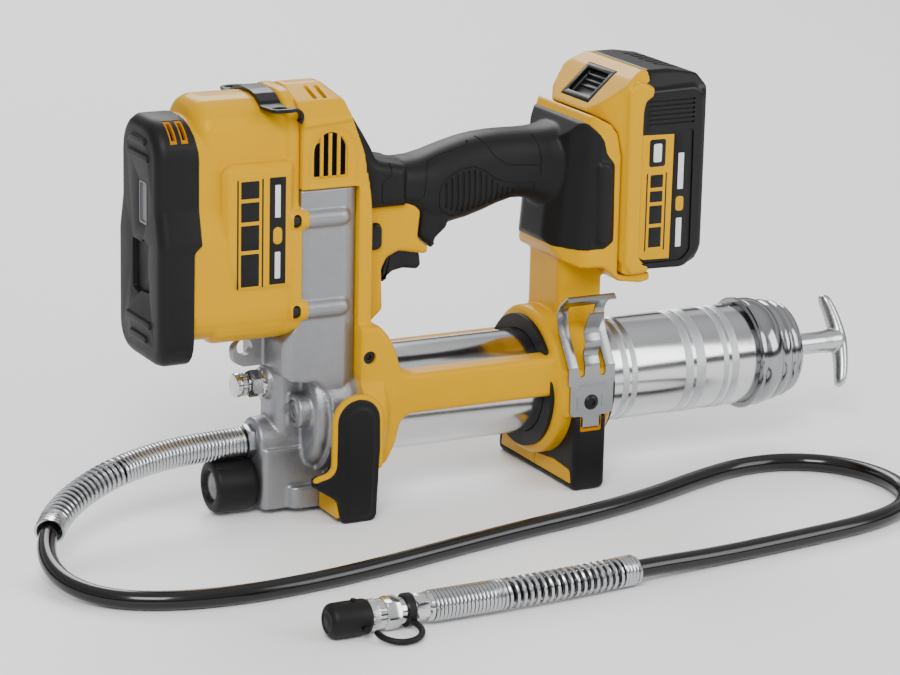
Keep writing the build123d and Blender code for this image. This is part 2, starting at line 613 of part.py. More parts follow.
def mount_rubber_solid():
    """The outline that the mount's rubber covers, and the mount's core inside it."""
    whole = slab([(90, 201), (134, 201), (145.7, 192), (147, 184), (152, 179), (153, 135), (147, 131),
                  (125.6, 131.5), (119, 134), (90, 134)], -MOUNT_HALF_W, MOUNT_HALF_W)
    core = slab([(122, 150), (124, 175.5), (130, 189), (136, 199), (138, 215), (160, 215), (160, 120), (123, 120)],
                -MOUNT_HALF_W + GRIP_RUBBER, MOUNT_HALF_W - GRIP_RUBBER)
    return whole, core


def main_frame():
    whole, core = mount_rubber_solid()
    frame = frame_outside()
    frame = frame - (whole - core)
    frame -= frame_inside()
    frame -= rod_x(-5, 200, COLLAR_BORE_R, z=AXIS_Z)
    frame -= rod_x(-5, 12.5, SOCKET_R, z=AXIS_Z)
    frame -= rod_y(CLIP_Y - 1, CLIP_Y + 8, CLIP_SCREW_R, x=CLIP_SCREW_X, z=CLIP_SCREW_Z)
    frame -= gear_case_outside()
    frame -= trigger_slot() + lock_button_slot()
    return frame


def collar_bushings(frame):
    """The black rubber rings that centre the barrel in the two collars."""
    rings = []
    for x0, x1 in ((12.5, 20.5), (115.5, 123), (148, 155.5)):
        ring = rod_x(x0, x1, COLLAR_BORE_R, z=AXIS_Z) - rod_x(x0, x1, BARREL_R + 0.3, z=AXIS_Z)
        rings.append(ring)
    for x0, x1 in ((115.5, 118), (153, 155.5)):
        lip = rod_x(x0, x1, 36.5, z=AXIS_Z) - rod_x(x0, x1, COLLAR_BORE_R, z=AXIS_Z)
        rings[1 if x0 < 130 else 2] += lip - frame
    return Compound(rings)


def grip_rubber():
    """The rubber moulded over the back of the head, the grip and the battery mount."""
    whole, core = mount_rubber_solid()
    sleeve = grip_solid(0) - grip_solid(GRIP_RUBBER)
    sleeve -= slab(HEAD_OUTLINE, -FRAME_HALF_W, FRAME_HALF_W)
    sleeve -= slab(TRIGGER_HOUSE_OUTLINE, -15, 15)
    back = slab([(8, 196), (-1, 214), (6, 219), (12, 214), (18, 205), (23, 196), (26, 188), (20, 170),
                 (15, 163), (13, 178)], -21, 21) - grip_solid(0)
    wrap = (whole & slab(MOUNT_OUTLINE, -40, 40)) - core
    rubber = sleeve + back + (wrap - grip_solid(0))
    return rubber - frame_inside() - core


# ---- trigger and buttons ------------------------------------------------------------------------
TRIGGER_SLIDE = (-0.41, 0.91)
TRIGGER_OUTLINE = [
    (28, 117), (30.5, 121.5), (34, 124.2), (40, 125.3), (49, 124), (51, 126), (50.2, 132.5), (41, 142),
    (36, 153), (30, 153), (31, 139), (28.5, 132), (26.6, 124),
]


def trigger():
    return slab(TRIGGER_OUTLINE, -7.5, 7.5)


def trigger_slot():
    """The room that the trigger needs over its whole travel."""
    reach = 7.0
    steps = [slab([(x + TRIGGER_SLIDE[0] * s, z + TRIGGER_SLIDE[1] * s) for x, z in TRIGGER_OUTLINE],
                  -8.0, 8.0) for s in (0, reach / 2, reach)]
    room = steps[0] + steps[1] + steps[2]
    return room + slab([(24.5, 131), (51, 131.5), (51, 139), (44, 147), (36, 158), (27, 158), (27, 137)],
                       -8.0, 8.0)


def trigger_switch():
    """The switch above the lock button, with the pin that the trigger presses."""
    return block(3, 25.5, -10.5, 10.5, 154.8, 161.4) + rod_x(25.5, 26.6, 1.6, z=158)


def lock_button():
    return rounded(block(15.5, 22.5, -17.5, 17.5, 139.5, 153.5), Axis.Y, 3.4)


def lock_button_slot():
    return rounded(block(15.1, 22.9, -20, 20, 139.1, 153.9), Axis.Y, 3.7)


# ---- feet ---------------------------------------------------------------------------------------
FRONT_FOOT_OUTLINE = [
    (-12, 0), (-15, 14), (-24, 21), (-24, 25), (-15, 37), (-14, 56), (-8, 64), (0, 68), (8, 65),
    (14.5, 56), (15.5, 46), (12, 0),
]
REAR_FOOT_OUTLINE = [(127.2, 0), (127.2, 42), (147, 42), (147, 0)]


def front_foot(casting):
    whole = slab(FRONT_FOOT_OUTLINE, -FOOT_HALF_W, FOOT_HALF_W)
    whole -= rod_x(-60, 60, COLLAR_R + 0.2, z=AXIS_Z)
    whole -= block(-30, CASE_REAR_X, -29, 29, 3, 100)
    whole += block(CASE_REAR_X, 12, -20, 20, 0, 12)
    return whole - rod_z(-1, 5, 9.8, x=PLUNGER_X) - casting


def rear_foot():
    whole = slab(REAR_FOOT_OUTLINE, -FOOT_HALF_W, FOOT_HALF_W)
    whole = fillet(whole.edges().filter_by(Axis.Y).sort_by(Axis.Z)[:2], 3.0)
    whole -= block(130.5, 143.5, -FOOT_HALF_W - 1, -40.5, 35.4, 43)
    return whole - rod_x(100, 200, COLLAR_R + 0.05, z=AXIS_Z)


# ---- hose clip ----------------------------------------------------------------------------------


def hose_clip():
    """A spring steel clip: a screwed plate, two legs up to a hooked bar, and a wavy tongue."""
    def strip(path_yz, x0, x1):
        """A folded strip, with its side profile given as (y, z) points."""
        back = [(y - CLIP_THICK, z) for y, z in path_yz]
        face = make_face(Polyline([(0, y, z) for y, z in path_yz + back[::-1]], close=True))
        return Pos(x0, 0, 0) * extrude(face, amount=x1 - x0, dir=(1, 0, 0))

    plate = block(123, 151, CLIP_Y - CLIP_THICK, CLIP_Y, 42.5, 68)
    tab = block(131, 143, CLIP_Y - CLIP_THICK, CLIP_Y, 36, 42.5)
    leg_profile = [(CLIP_Y, 67.9), (CLIP_Y, 70), (CLIP_Y + 12, 86), (CLIP_Y + 12, 97), (CLIP_Y + 6, 107),
                   (CLIP_Y - 2, 112), (CLIP_Y - 7, 109)]
    legs = strip(leg_profile, 123, 129) + strip(leg_profile, 145, 151)
    bar = strip(leg_profile[-4:], 123, 151)
    tongue = strip([(CLIP_Y, 67.9), (CLIP_Y, 72), (CLIP_Y + 3, 77), (CLIP_Y - 0.5, 84), (CLIP_Y + 3.5, 91),
                    (CLIP_Y - 1, 98), (CLIP_Y - 3, 100)], 133, 141)
    clip = plate + tab + legs + bar + tongue
    return clip - rod_y(CLIP_Y - 5, CLIP_Y + 2, CLIP_SCREW_R, x=CLIP_SCREW_X, z=CLIP_SCREW_Z)


def clip_screw():
    """A round-headed screw with a socket."""
    x, z, face = CLIP_SCREW_X, CLIP_SCREW_Z, CLIP_Y - CLIP_THICK
    screw = rod_y(face, CLIP_Y + 8, CLIP_SCREW_R, x=x, z=z) + rod_y(face - 1.4, face, 4.4, x=x, z=z)
    return screw - rod_y(face - 2, face - 0.5, 1.4, x=x, z=z)


# ---- battery pack -------------------------------------------------------------------------------
PACK_SPLIT_X = 169.0
PACK_TOP_Z = 227.5
POCKET_X = 165.2         # floor of the pocket for the rails
CONTACT_Y = (-12, -6, 0, 6, 12)


def battery_cover():
    """The pack's yellow front half, with its head over the mount and a slot for the rails."""
    outline = [(140.6, 204.6), (161, 223.3), (167, 227), (PACK_SPLIT_X, PACK_TOP_Z), (PACK_SPLIT_X, 117.2),
               (157, 117.2), (157, 182.4), (154.3, 194.6), (150.1, 200.2), (143, 204.2)]
    cover = slab(outline, -PACK_HALF_W + 3, PACK_HALF_W - 3)
    flange = slab([(160, 117.2), (160, 218), (165, 223), (PACK_SPLIT_X, 223), (PACK_SPLIT_X, 117.2)],
                  -PACK_HALF_W, PACK_HALF_W)
    rails = block(150, 160, -16.4, 16.4, 110, 198) + block(159.6, POCKET_X, -22.4, 22.4, 110, 198)
    inside = slab([(158, 205), (163, 212), (PACK_SPLIT_X, 214), (PACK_SPLIT_X, 202), (160, 202)], -26, 26)
    return cover + flange - rails - inside - release_room()


def battery_case():
    outline = [(PACK_SPLIT_X, 117.2), (PACK_SPLIT_X, PACK_TOP_Z), (184, PACK_TOP_Z), (202, 224), (206, 218),
               (206, 125), (198, 117.2)]
    case = slab(outline, -PACK_HALF_W + 0.6, PACK_HALF_W - 0.6)
    inside = slab([(PACK_SPLIT_X, 121), (PACK_SPLIT_X, 223.8), (184, 223.8), (199.4, 220.6), (202.7, 216.4),
                   (202.7, 126), (197, 121)], -PACK_HALF_W + 3.5, PACK_HALF_W - 3.5)
    return case - inside


CELL_R = 9.0
CELL_LENGTH = 65.0
CELL_PITCH = 18.6


def battery_cells():
    """Ten cells in two staggered columns of five, lying across the pack."""
    cells = []
    for x, base_z in ((178.1, 139.9), (193.6, 130.6)):
        for row in range(5):
            cells.append(rod_y(-CELL_LENGTH / 2, CELL_LENGTH / 2, CELL_R, x=x, z=base_z + row * CELL_PITCH))
    return Compound(cells)


def battery_contacts():
    """Five contact blades that run in the rail block's slots."""
    return Compound([block(161.4, POCKET_X, y - 0.6, y + 0.6, 150, 172) for y in CONTACT_Y])


def rail_block():
    """The black rails on the mount that the pack slides on, with slots for its contacts."""
    rails = block(156.2, 160, -16, 16, 131, 182) + block(160, 164.6, -22, 22, 131, 196)
    for y in CONTACT_Y:
        rails -= block(160.8, 165, y - 1.2, y + 1.2, 148, 197)
    return rails


RELEASE_DIR = Vector(0.66, 0, -0.75)     # the way that the release button is pressed
RELEASE_EDGE = Vector(144.8, 0, 208.5), Vector(162.4, 0, 224.6)
RELEASE_THICK, RELEASE_TRAVEL = 4.0, 3.5
RELEASE_GAP = 0.4


def release_block(start, end, margin, half_w):
    """A block on the sloping front of the pack, from one depth to another under its surface."""
    low, high = RELEASE_EDGE
    along = (high - low).normalized() * margin
    corners = [low + along + RELEASE_DIR * start, high - along + RELEASE_DIR * start,
               high - along + RELEASE_DIR * end, low + along + RELEASE_DIR * end]
    return slab([(corner.X, corner.Z) for corner in corners], -half_w, half_w)


def release_room():
    return release_block(-3, RELEASE_THICK + RELEASE_TRAVEL + RELEASE_GAP, 0, 15 + RELEASE_GAP)


def battery_release():
    return release_block(0, RELEASE_THICK, RELEASE_GAP, 15)


# ---- hose and coupler ---------------------------------------------------------------------------
def part_way(a, b, share):
    return tuple(p + (q - p) * share for p, q in zip(a, b))


def hose_parts():
    """The hose and its two spring guards, each along its own stretch of the route."""
    radii = corner_radii(HOSE_ROUTE)
    print("hose bend radii, mm:", [round(r) for r in radii])
    hose, length = tube_along(HOSE_ROUTE, radii, HOSE_D)
    print("hose length, mm:", round(length, 1), "volume ratio:",
          round(hose.volume / (math.pi * HOSE_D ** 2 / 4 * length), 4))
    end = GUARD_ONE_END
    first = HOSE_ROUTE[:end + 1]
    first[end] = part_way(HOSE_ROUTE[end - 1], HOSE_ROUTE[end], 0.5)
    guard_one, _ = tube_along(first, radii[:end - 1], GUARD_D, GUARD_BORE_D)
    start = GUARD_TWO_START
    second = HOSE_ROUTE[start:]
    second[0] = part_way(HOSE_ROUTE[start], HOSE_ROUTE[start + 1], 0.5)
    guard_two, _ = tube_along(second, radii[start:], GUARD_D, GUARD_BORE_D)
    return hose, guard_one, guard_two


def coupler_body():
    """The grease coupler: its hose nut, a turned neck, a hexagon and the nose that the cap covers."""
    body = hex_x(-61.5, -53, 14.4, y=COUPLER_Y, z=COUPLER_Z)
    body += rod_x(-53, -45, 6.7, y=COUPLER_Y, z=COUPLER_Z)
    body += hex_x(-45, -37, 12.6, y=COUPLER_Y, z=COUPLER_Z)
    body += rod_x(-84, -61.5, 4.0, y=COUPLER_Y, z=COUPLER_Z)
    return body - rod_x(-85, -62, 1.5, y=COUPLER_Y, z=COUPLER_Z)


def coupler_sleeve():
    sleeve = rod_x(-86, -61.5, 7.2, y=COUPLER_Y, z=COUPLER_Z)
    return sleeve - rod_x(-86, -61.5, 4.0 + RUN_GAP, y=COUPLER_Y, z=COUPLER_Z)


def coupler_cap():
    cap = rod_x(-90, -69, 8.7, y=COUPLER_Y, z=COUPLER_Z)
    cap += rod_z(COUPLER_Z + 8, COUPLER_Z + 10.2, 1.2, x=-79, y=COUPLER_Y)
    return cap - rod_x(-87, -68, 7.2 + 0.08, y=COUPLER_Y, z=COUPLER_Z)


def cap_tether():
    """The rubber strap from a ring on the coupler's neck to the cap."""
    ring = rod_x(-49.5, -46, 8.2, y=COUPLER_Y, z=COUPLER_Z) - rod_x(-49.5, -46, 6.7, y=COUPLER_Y, z=COUPLER_Z)
    path = ThreePointArc((-47.8, COUPLER_Y - 8, COUPLER_Z - 4), (-57, COUPLER_Y - 23, 2.2),
                         (-68.5, COUPLER_Y - 10.8, COUPLER_Z - 5))
    strap = sweep(Plane(origin=path @ 0, z_dir=path % 0) * Circle(1.6), path=path)
    return ring + strap


# ---- writing ------------------------------------------------------------------------------------
def main():
    os.makedirs("parts", exist_ok=True)
    casting = pump_casting()
    frame = main_frame()
    rubber = grip_rubber()
    hose, guard_one, guard_two = hose_parts()
    parts = {
        "barrel_tube": barrel_tube(), "barrel_end_cap": barrel_end_cap(),
        "follower_cup": follower_cup(), "follower_plate": follower_plate(),
        "follower_spring": follower_spring(), "follower_rod": follower_rod(),
        "t_handle": t_handle(),
        "pump_casting": casting, "bearing_plate": bearing_plate(), "case_screws": case_screws(),
        "pump_plunger": pump_plunger(), "plunger_yoke": plunger_yoke(), "plunger_seal": plunger_seal(),
        "pump_end_plug": pump_end_plug(), "check_valve": check_valve(),
        "outlet_nut": outlet_nut(), "side_plug": side_plug(), "bleeder_body": bleeder_body(),
        "bleeder_knob": bleeder_knob(),
        "lamp_boot": lamp_boot(), "lamp_lens": lamp_lens(), "lamp_board": lamp_board(),
        "motor_can": motor_can(), "rotor_core": rotor_core(),
        "commutator": commutator(), "motor_shaft": motor_shaft(),
        "cooling_fan": cooling_fan(), "motor_bearings": motor_bearings(), "brush_holder": brush_holder(),
        "idler_gear": idler_gear(), "idler_shaft": idler_shaft(),
        "crank_gear": crank_gear(), "crank_shaft": crank_shaft(),
        "motor_housing": motor_housing(), "motor_cap": motor_cap(), "strap_bracket": strap_bracket(),
        "frame_left": left_half(frame), "frame_right": right_half(frame),
        "collar_bushings": collar_bushings(frame), "grip_rubber": rubber,
        "trigger": trigger(), "trigger_switch": trigger_switch(), "lock_button": lock_button(),
        "front_foot": front_foot(casting), "rear_foot": rear_foot(),
        "hose_clip": hose_clip(), "clip_screw": clip_screw(),
        "battery_cover": battery_cover(), "battery_case": battery_case(), "battery_cells": battery_cells(),
        "battery_contacts": battery_contacts(), "rail_block": rail_block(),
        "battery_release": battery_release(),
        "hose": hose, "hose_guard_front": guard_one, "hose_guard_rear": guard_two,
        "coupler_body": coupler_body(), "coupler_sleeve": coupler_sleeve(),
        "coupler_cap": coupler_cap(), "cap_tether": cap_tether(),
    }
    for name, shape in parts.items():
        export_step(shape, f"parts/{name}.step")
    print(len(parts), "parts")


if __name__ == "__main__":
    main()
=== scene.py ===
"""The looks of the battery powered grease gun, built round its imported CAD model.

Sizes are in millimetres, in the CAD model's frame: +X to the rear, -Y the left side, +Z up."""

import bmesh
import bpy
import json
import math
from mathutils import Matrix, Vector
from mathutils.bvhtree import BVHTree

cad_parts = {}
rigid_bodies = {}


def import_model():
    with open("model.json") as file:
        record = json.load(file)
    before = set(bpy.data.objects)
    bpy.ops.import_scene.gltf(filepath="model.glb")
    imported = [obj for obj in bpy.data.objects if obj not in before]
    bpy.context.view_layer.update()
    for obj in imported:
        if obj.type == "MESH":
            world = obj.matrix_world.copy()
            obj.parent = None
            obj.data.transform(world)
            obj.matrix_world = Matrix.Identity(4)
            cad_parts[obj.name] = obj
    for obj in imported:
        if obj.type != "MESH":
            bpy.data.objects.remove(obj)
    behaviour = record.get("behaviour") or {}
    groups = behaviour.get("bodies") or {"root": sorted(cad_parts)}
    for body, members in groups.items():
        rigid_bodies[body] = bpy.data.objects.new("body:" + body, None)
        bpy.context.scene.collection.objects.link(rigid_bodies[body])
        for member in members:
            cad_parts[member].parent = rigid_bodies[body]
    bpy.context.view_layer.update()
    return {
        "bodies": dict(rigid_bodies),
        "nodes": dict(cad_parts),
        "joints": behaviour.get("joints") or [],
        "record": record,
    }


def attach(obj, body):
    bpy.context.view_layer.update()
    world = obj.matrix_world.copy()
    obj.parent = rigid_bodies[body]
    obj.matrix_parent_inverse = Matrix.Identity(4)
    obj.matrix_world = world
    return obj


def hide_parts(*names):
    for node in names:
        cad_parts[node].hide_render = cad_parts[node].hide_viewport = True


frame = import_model()
MM = 0.001

# ---- driving dimensions, as in the CAD model ----------------------------------------------------
AXIS_Z = 53.6            # barrel's axis
BARREL_R = 28.5
CASE_HALF_W = 30.0
SCREW_Z = (115.0, 163.0)
SCREW_Y = 27.6
OUTLET_Z = 38.0
BLEED_Z = 69.5
LAMP_Z = 15.6
COUPLER_Y, COUPLER_Z = -192.6, 9.0
HOSE_D = 9.6
GUARD_R = 7.0            # middle of a guard's wire
GUARD_WIRE_R = 1.0
PLUNGER_X = -20.0
T_TILT = 32.5            # degrees that the T-handle leans

HOSE_ROUTE = [
    (-48, 0, 38), (-74, 0, 38), (-104, -2.5, 36), (-134, -10, 31), (-162, -26, 23), (-180.5, -52, 14),
    (-184, -83, 7.5), (-170.5, -110.5, 5), (-143, -126.5, 5), (-107, -132, 5), (-64, -129, 5),
    (-20, -120.5, 5), (24, -109.3, 5), (68, -99.2, 5), (112, -91, 5), (156, -78.5, 5), (196, -62, 5),
    (227, -52.6, 5), (256.5, -54.6, 5), (280.5, -71, 5), (291.5, -98.5, 5), (288, -128, 5), (268.5, -151, 5),
    (238, -163.5, 5), (190, -170.5, 5), (136, -177, 5.2), (92, -183, 7.6), (48, -189.4, 8.6),
    (4, COUPLER_Y, COUPLER_Z), (-37, COUPLER_Y, COUPLER_Z),
]


def add_object(name, data):
    """An object in the scene from its data."""
    made = bpy.data.objects.new(name, data)
    bpy.context.scene.collection.objects.link(made)
    return made


# ---- camera -------------------------------------------------------------------------------------
def make_camera():
    """A long lens, at 27.5 degrees round to the left and 15.5 degrees up."""
    azimuth, elevation, roll = math.radians(27.53), math.radians(15.5), math.radians(1.29)
    forward = Vector((math.sin(azimuth) * math.cos(elevation), math.cos(azimuth) * math.cos(elevation),
                      -math.sin(elevation)))
    right = Vector((math.cos(azimuth), -math.sin(azimuth), 0))
    up = right.cross(forward)
    right, up = (math.cos(roll) * right + math.sin(roll) * up, math.cos(roll) * up - math.sin(roll) * right)
    data = bpy.data.cameras.new("camera")
    data.lens, data.sensor_width = 132.0, 36.0
    data.clip_start, data.clip_end = 0.05, 50.0
    camera = add_object("camera", data)
    turn = Matrix((right, up, -forward)).transposed().to_4x4()
    camera.matrix_world = Matrix.Translation((-0.7209, -1.5224, 0.5581)) @ turn
    bpy.context.scene.camera = camera


make_camera()


# ---- materials ----------------------------------------------------------------------------------
def srgb(red, green, blue):
    """A linear colour from 0 to 255 display values."""
    linear = [(v / 255 / 12.92) if v < 10.3 else ((v / 255 + 0.055) / 1.055) ** 2.4
              for v in (red, green, blue)]
    return (*linear, 1.0)


def set_inputs(node, **values):
    """Sets inputs of a shader node. An underscore in a name stands for a space."""
    for name, value in values.items():
        node.inputs[name.replace("_", " ")].default_value = value
    return node


def material(name, colour, roughness, metallic=0.0, grain=1500.0, bump=0.02, mottle=0.06,
             mottle_scale=60.0, rough_spread=0.08, stretch=(1, 1, 1), wear=0.0, wear_colour=None,
             coat=0.0, shine=None, shine_tint=None):
    """A surface with fine grain in its bump, soft mottling in its colour and gloss, and worn edges."""
    made = bpy.data.materials.new(name)
    made.use_nodes = True
    tree = made.node_tree

    def add(kind, data_type=None, **values):
        node = tree.nodes.new("ShaderNode" + kind)
        if data_type:
            node.data_type = data_type
        return set_inputs(node, **values)

    def link(source, output, target, into):
        tree.links.new(source.outputs[output], target.inputs[into])

    shader = set_inputs(tree.nodes["Principled BSDF"], Metallic=metallic)
    if shine is not None:
        set_inputs(shader, Specular_IOR_Level=shine)
    if shine_tint:
        set_inputs(shader, Specular_Tint=shine_tint)
    if coat:
        set_inputs(shader, Coat_Weight=coat, Coat_Roughness=0.12)
    mapping = add("Mapping", Scale=stretch)
    link(add("TexCoord"), "Object", mapping, "Vector")

    broad = add("TexNoise", Scale=mottle_scale, Detail=4)
    link(mapping, "Vector", broad, "Vector")
    top = add("Mix", "RGBA", A=[c * (1 - mottle) for c in colour[:3]] + [1],
              B=[min(1, c * (1 + mottle)) for c in colour[:3]] + [1])
    link(broad, "Fac", top, "Factor")
    if wear:
        pick = add("MapRange", From_Min=0.53, From_Max=0.62, To_Max=wear)
        link(add("NewGeometry"), "Pointiness", pick, "Value")
        worn = add("Mix", "RGBA", B=wear_colour)
        link(pick, "Result", worn, "Factor")
        link(top, "Result", worn, "A")
        top = worn
    link(top, "Result", shader, "Base Color")

    gloss = add("MapRange", To_Min=max(0.02, roughness - rough_spread), To_Max=roughness + rough_spread)
    link(broad, "Fac", gloss, "Value")
    link(gloss, "Result", shader, "Roughness")

    fine = add("TexNoise", Scale=grain, Detail=2)
    link(mapping, "Vector", fine, "Vector")
    height = add("Bump", Strength=min(1.0, bump * 10), Distance=bump * MM * 2)
    link(fine, "Fac", height, "Height")
    link(height, "Normal", shader, "Normal")
    return made


AMBER = (1.0, 0.55, 0.02, 1)
YELLOW = material("yellow_moulded", (0.60, 0.31, 0.0, 1), 0.34, shine=0.35,
                  shine_tint=AMBER, grain=1300, bump=0.03, mottle=0.02, wear=0.25,
                  wear_colour=(0.72, 0.42, 0.01, 1))
# A darker yellow for the liners inside vents and slots: painted shade on the yellow plastic in its recesses.
SHADED_YELLOW = material("yellow_painted_shade", (0.42, 0.16, 0.0, 1), 0.5, bump=0.02, shine=0.2,
                       shine_tint=AMBER)
BLACK_RUBBER = material("black_overmould", srgb(13, 13, 14), 0.5, grain=1700, bump=0.05,
                        mottle=0.12, shine=0.24, wear=0.3, wear_colour=srgb(34, 34, 36))
BLACK_PLASTIC = material("black_plastic", srgb(11, 11, 12), 0.3, bump=0.02, mottle=0.1,
                         wear=0.3, shine=0.26, wear_colour=srgb(40, 40, 42))
BLACK_COATED = material("black_coated_steel", srgb(12, 12, 13), 0.34, bump=0.03, mottle=0.1,
                        wear=0.4, shine=0.28, wear_colour=srgb(50, 50, 52))
# Near-black for sheets set inside slots and vents: painted shade where there is only an opening.
PAINTED_SHADE_BLACK = material("painted_shade_recess", srgb(6, 6, 6), 0.8, bump=0.01, shine=0.05)
CAST = material("cast_aluminium", srgb(146, 147, 150), 0.42, metallic=0.85, grain=900,
                bump=0.09, mottle=0.1, mottle_scale=220, rough_spread=0.1, wear=0.5,
                wear_colour=srgb(232, 233, 235))
CHROME = material("bright_plate", srgb(206, 207, 208), 0.13, metallic=1.0, grain=300,
                  bump=0.008, mottle=0.04, mottle_scale=25, rough_spread=0.05)
BRUSHED = material("polished_barrel", srgb(205, 206, 208), 0.16, metallic=1.0, grain=500,
                   bump=0.012, mottle=0.05, mottle_scale=40, rough_spread=0.06, stretch=(0.15, 1, 1))
STAMPED = material("stamped_steel", srgb(150, 152, 154), 0.3, metallic=1.0, grain=400,
                   bump=0.015, mottle=0.06, stretch=(1, 1, 0.2))
SPRING = material("spring_wire", srgb(190, 192, 195), 0.24, metallic=1.0, grain=800,
                  bump=0.01, mottle=0.06)
DARK_METAL = material("dark_plated_cap", srgb(150, 151, 153), 0.14, metallic=1.0, grain=300,
                      bump=0.008, mottle=0.08, mottle_scale=30)
SATIN = material("knurled_band", srgb(196, 198, 200), 0.3, metallic=1.0, grain=300, bump=0.01)
CAST_BRIGHT = material("polished_casting", srgb(186, 187, 189), 0.26, metallic=1.0,
                       grain=700, bump=0.04)
STEEL = material("machined_steel", srgb(165, 167, 170), 0.3, metallic=1.0, bump=0.01)
COPPER = material("copper", srgb(200, 126, 80), 0.3, metallic=1.0, bump=0.01)
HOSE_RUBBER = material("hose_cover", srgb(9, 9, 10), 0.2, grain=220, bump=0.03, mottle=0.15,
                       shine=0.3, mottle_scale=40, rough_spread=0.06, coat=0.3)
WINDOW_GREY = material("window_grey", srgb(92, 93, 96), 0.3, bump=0.01)
LABEL_DARK = material("label_dark", srgb(16, 16, 17), 0.4, bump=0.005, shine=0.24)
LABEL_PALE = material("label_pale", srgb(214, 216, 218), 0.4, bump=0.005)
BOARD = material("circuit_board", srgb(20, 84, 44), 0.4)
SLEEVE_BLUE = material("cell_sleeve", srgb(40, 92, 120), 0.35)


def clear_material():
    made = bpy.data.materials.new("clear_lens")
    made.use_nodes = True
    set_inputs(made.node_tree.nodes["Principled BSDF"], Base_Color=(0.30, 0.31, 0.33, 1), Roughness=0.08,
               Transmission_Weight=0.7)
    return made


LENS = clear_material()


# ---- mesh helpers -------------------------------------------------------------------------------
def smooth(piece, angle=32.0):
    """Shades a piece smooth, with edges sharper than an angle in degrees kept hard."""
    piece.data.shade_smooth()
    piece.data.set_sharp_from_angle(angle=math.radians(angle))


def rect(a0, a1, b0, b1, radius=0.0):
    """A rectangle's corners, which may be rounded."""
    return [(a0, b0, radius), (a1, b0, radius), (a1, b1, radius), (a0, b1, radius)]


def rod(start, end, radius):
    """A plain cylinder's profile for lathe."""
    return [(start, 0), (start, radius), (end, radius), (end, 0)]


def span(side, inner, outer):
    """The low and high end of a stretch on one side of the middle plane."""
    return sorted((side * inner, side * outer))


def outward(side, rim):
    """Rims that round only the end of a plate that faces away from the middle plane."""
    return (rim, 0) if side < 0 else (0, rim)


def object_from_bmesh(name, work):
    """An object in metres from a mesh in millimetres."""
    bmesh.ops.recalc_face_normals(work, faces=work.faces)
    mesh = bpy.data.meshes.new(name)
    work.to_mesh(mesh)
    work.free()
    mesh.transform(Matrix.Scale(MM, 4))
    return add_object(name, mesh)


def settle(piece):
    """Applies the modifiers of a piece to its mesh."""
    graph = bpy.context.evaluated_depsgraph_get()
    mesh = bpy.data.meshes.new_from_object(piece.evaluated_get(graph))
    piece.modifiers.clear()
    piece.data = mesh
    return piece


def inset(outline, distance):
    """A closed outline moved inwards by a distance, with mitred corners."""
    area = sum(a[0] * b[1] - b[0] * a[1] for a, b in zip(outline, outline[1:] + outline[:1]))
    way = 1.0 if area > 0 else -1.0
    moved = []
    for index, here in enumerate(outline):
        here = Vector(here)
        before = (here - Vector(outline[index - 1])).normalized()
        after = (Vector(outline[(index + 1) % len(outline)]) - here).normalized()
        side_one, side_two = Vector((-before.y, before.x)), Vector((-after.y, after.x))
        middle = (side_one + side_two).normalized()
        moved.append(tuple(here + middle * way * distance / max(middle.dot(side_one), 0.4)))
    return moved


def rounded_outline(corners, steps=5):
    """A closed outline from (a, b, radius) corners, where the radius may be left out."""
    points = []
    count = len(corners)
    for index, corner in enumerate(corners):
        here = Vector(corner[:2])
        radius = corner[2] if len(corner) > 2 else 0
        if not radius:
            points.append(tuple(here))
            continue
        to_last = Vector(corners[index - 1][:2]) - here
        to_next = Vector(corners[(index + 1) % count][:2]) - here
        half = to_last.angle(to_next) / 2
        if half > 0.497 * math.pi:
            points.append(tuple(here))
            continue
        reach = min(radius / math.tan(half), 0.49 * to_last.length, 0.49 * to_next.length)
        radius = reach * math.tan(half)
        centre = here + (to_last.normalized() + to_next.normalized()).normalized() * radius / math.sin(half)
        start = here + to_last.normalized() * reach - centre
        end = here + to_next.normalized() * reach - centre
        turn = start.angle_signed(end)
        for step in range(steps + 1):
            spin = Matrix.Rotation(-turn * step / steps, 2)
            points.append(tuple(centre + spin @ start))
    return points


def place(axis, a, b, along):
    """A point from its two outline coordinates and its place along an axis."""
    return {"x": (along, a, b), "y": (a, along, b), "z": (a, b, along)}[axis]


def plate(name, corners, low, high, axis="y", rim=(0.0, 0.0), steps=4, chamfer=False):
    """A closed outline pushed from low to high along an axis, with its rims rounded or chamfered."""
    widest = max(rim) + 0.05
    corners = [(*c[:2], max(c[2], widest)) if len(c) > 2 and c[2] and max(rim) else c for c in corners]
    outline = rounded_outline(corners)
    steps = 1 if chamfer else steps
    rings = []
    for end, radius, way in ((low, rim[0], 1), (high, rim[1], -1)):
        stations = [(0, end)]
        if radius:
            turns = [step / steps * math.pi / 2 for step in range(steps + 1)]
            stations = [(radius * (1 - math.sin(turn)), end + way * radius * (1 - math.cos(turn)))
                        for turn in turns]
        rings += stations[::way]
    return loft(name, [[place(axis, a, b, along) for a, b in (inset(outline, depth) if depth else outline)]
                       for depth, along in rings], angle=32)


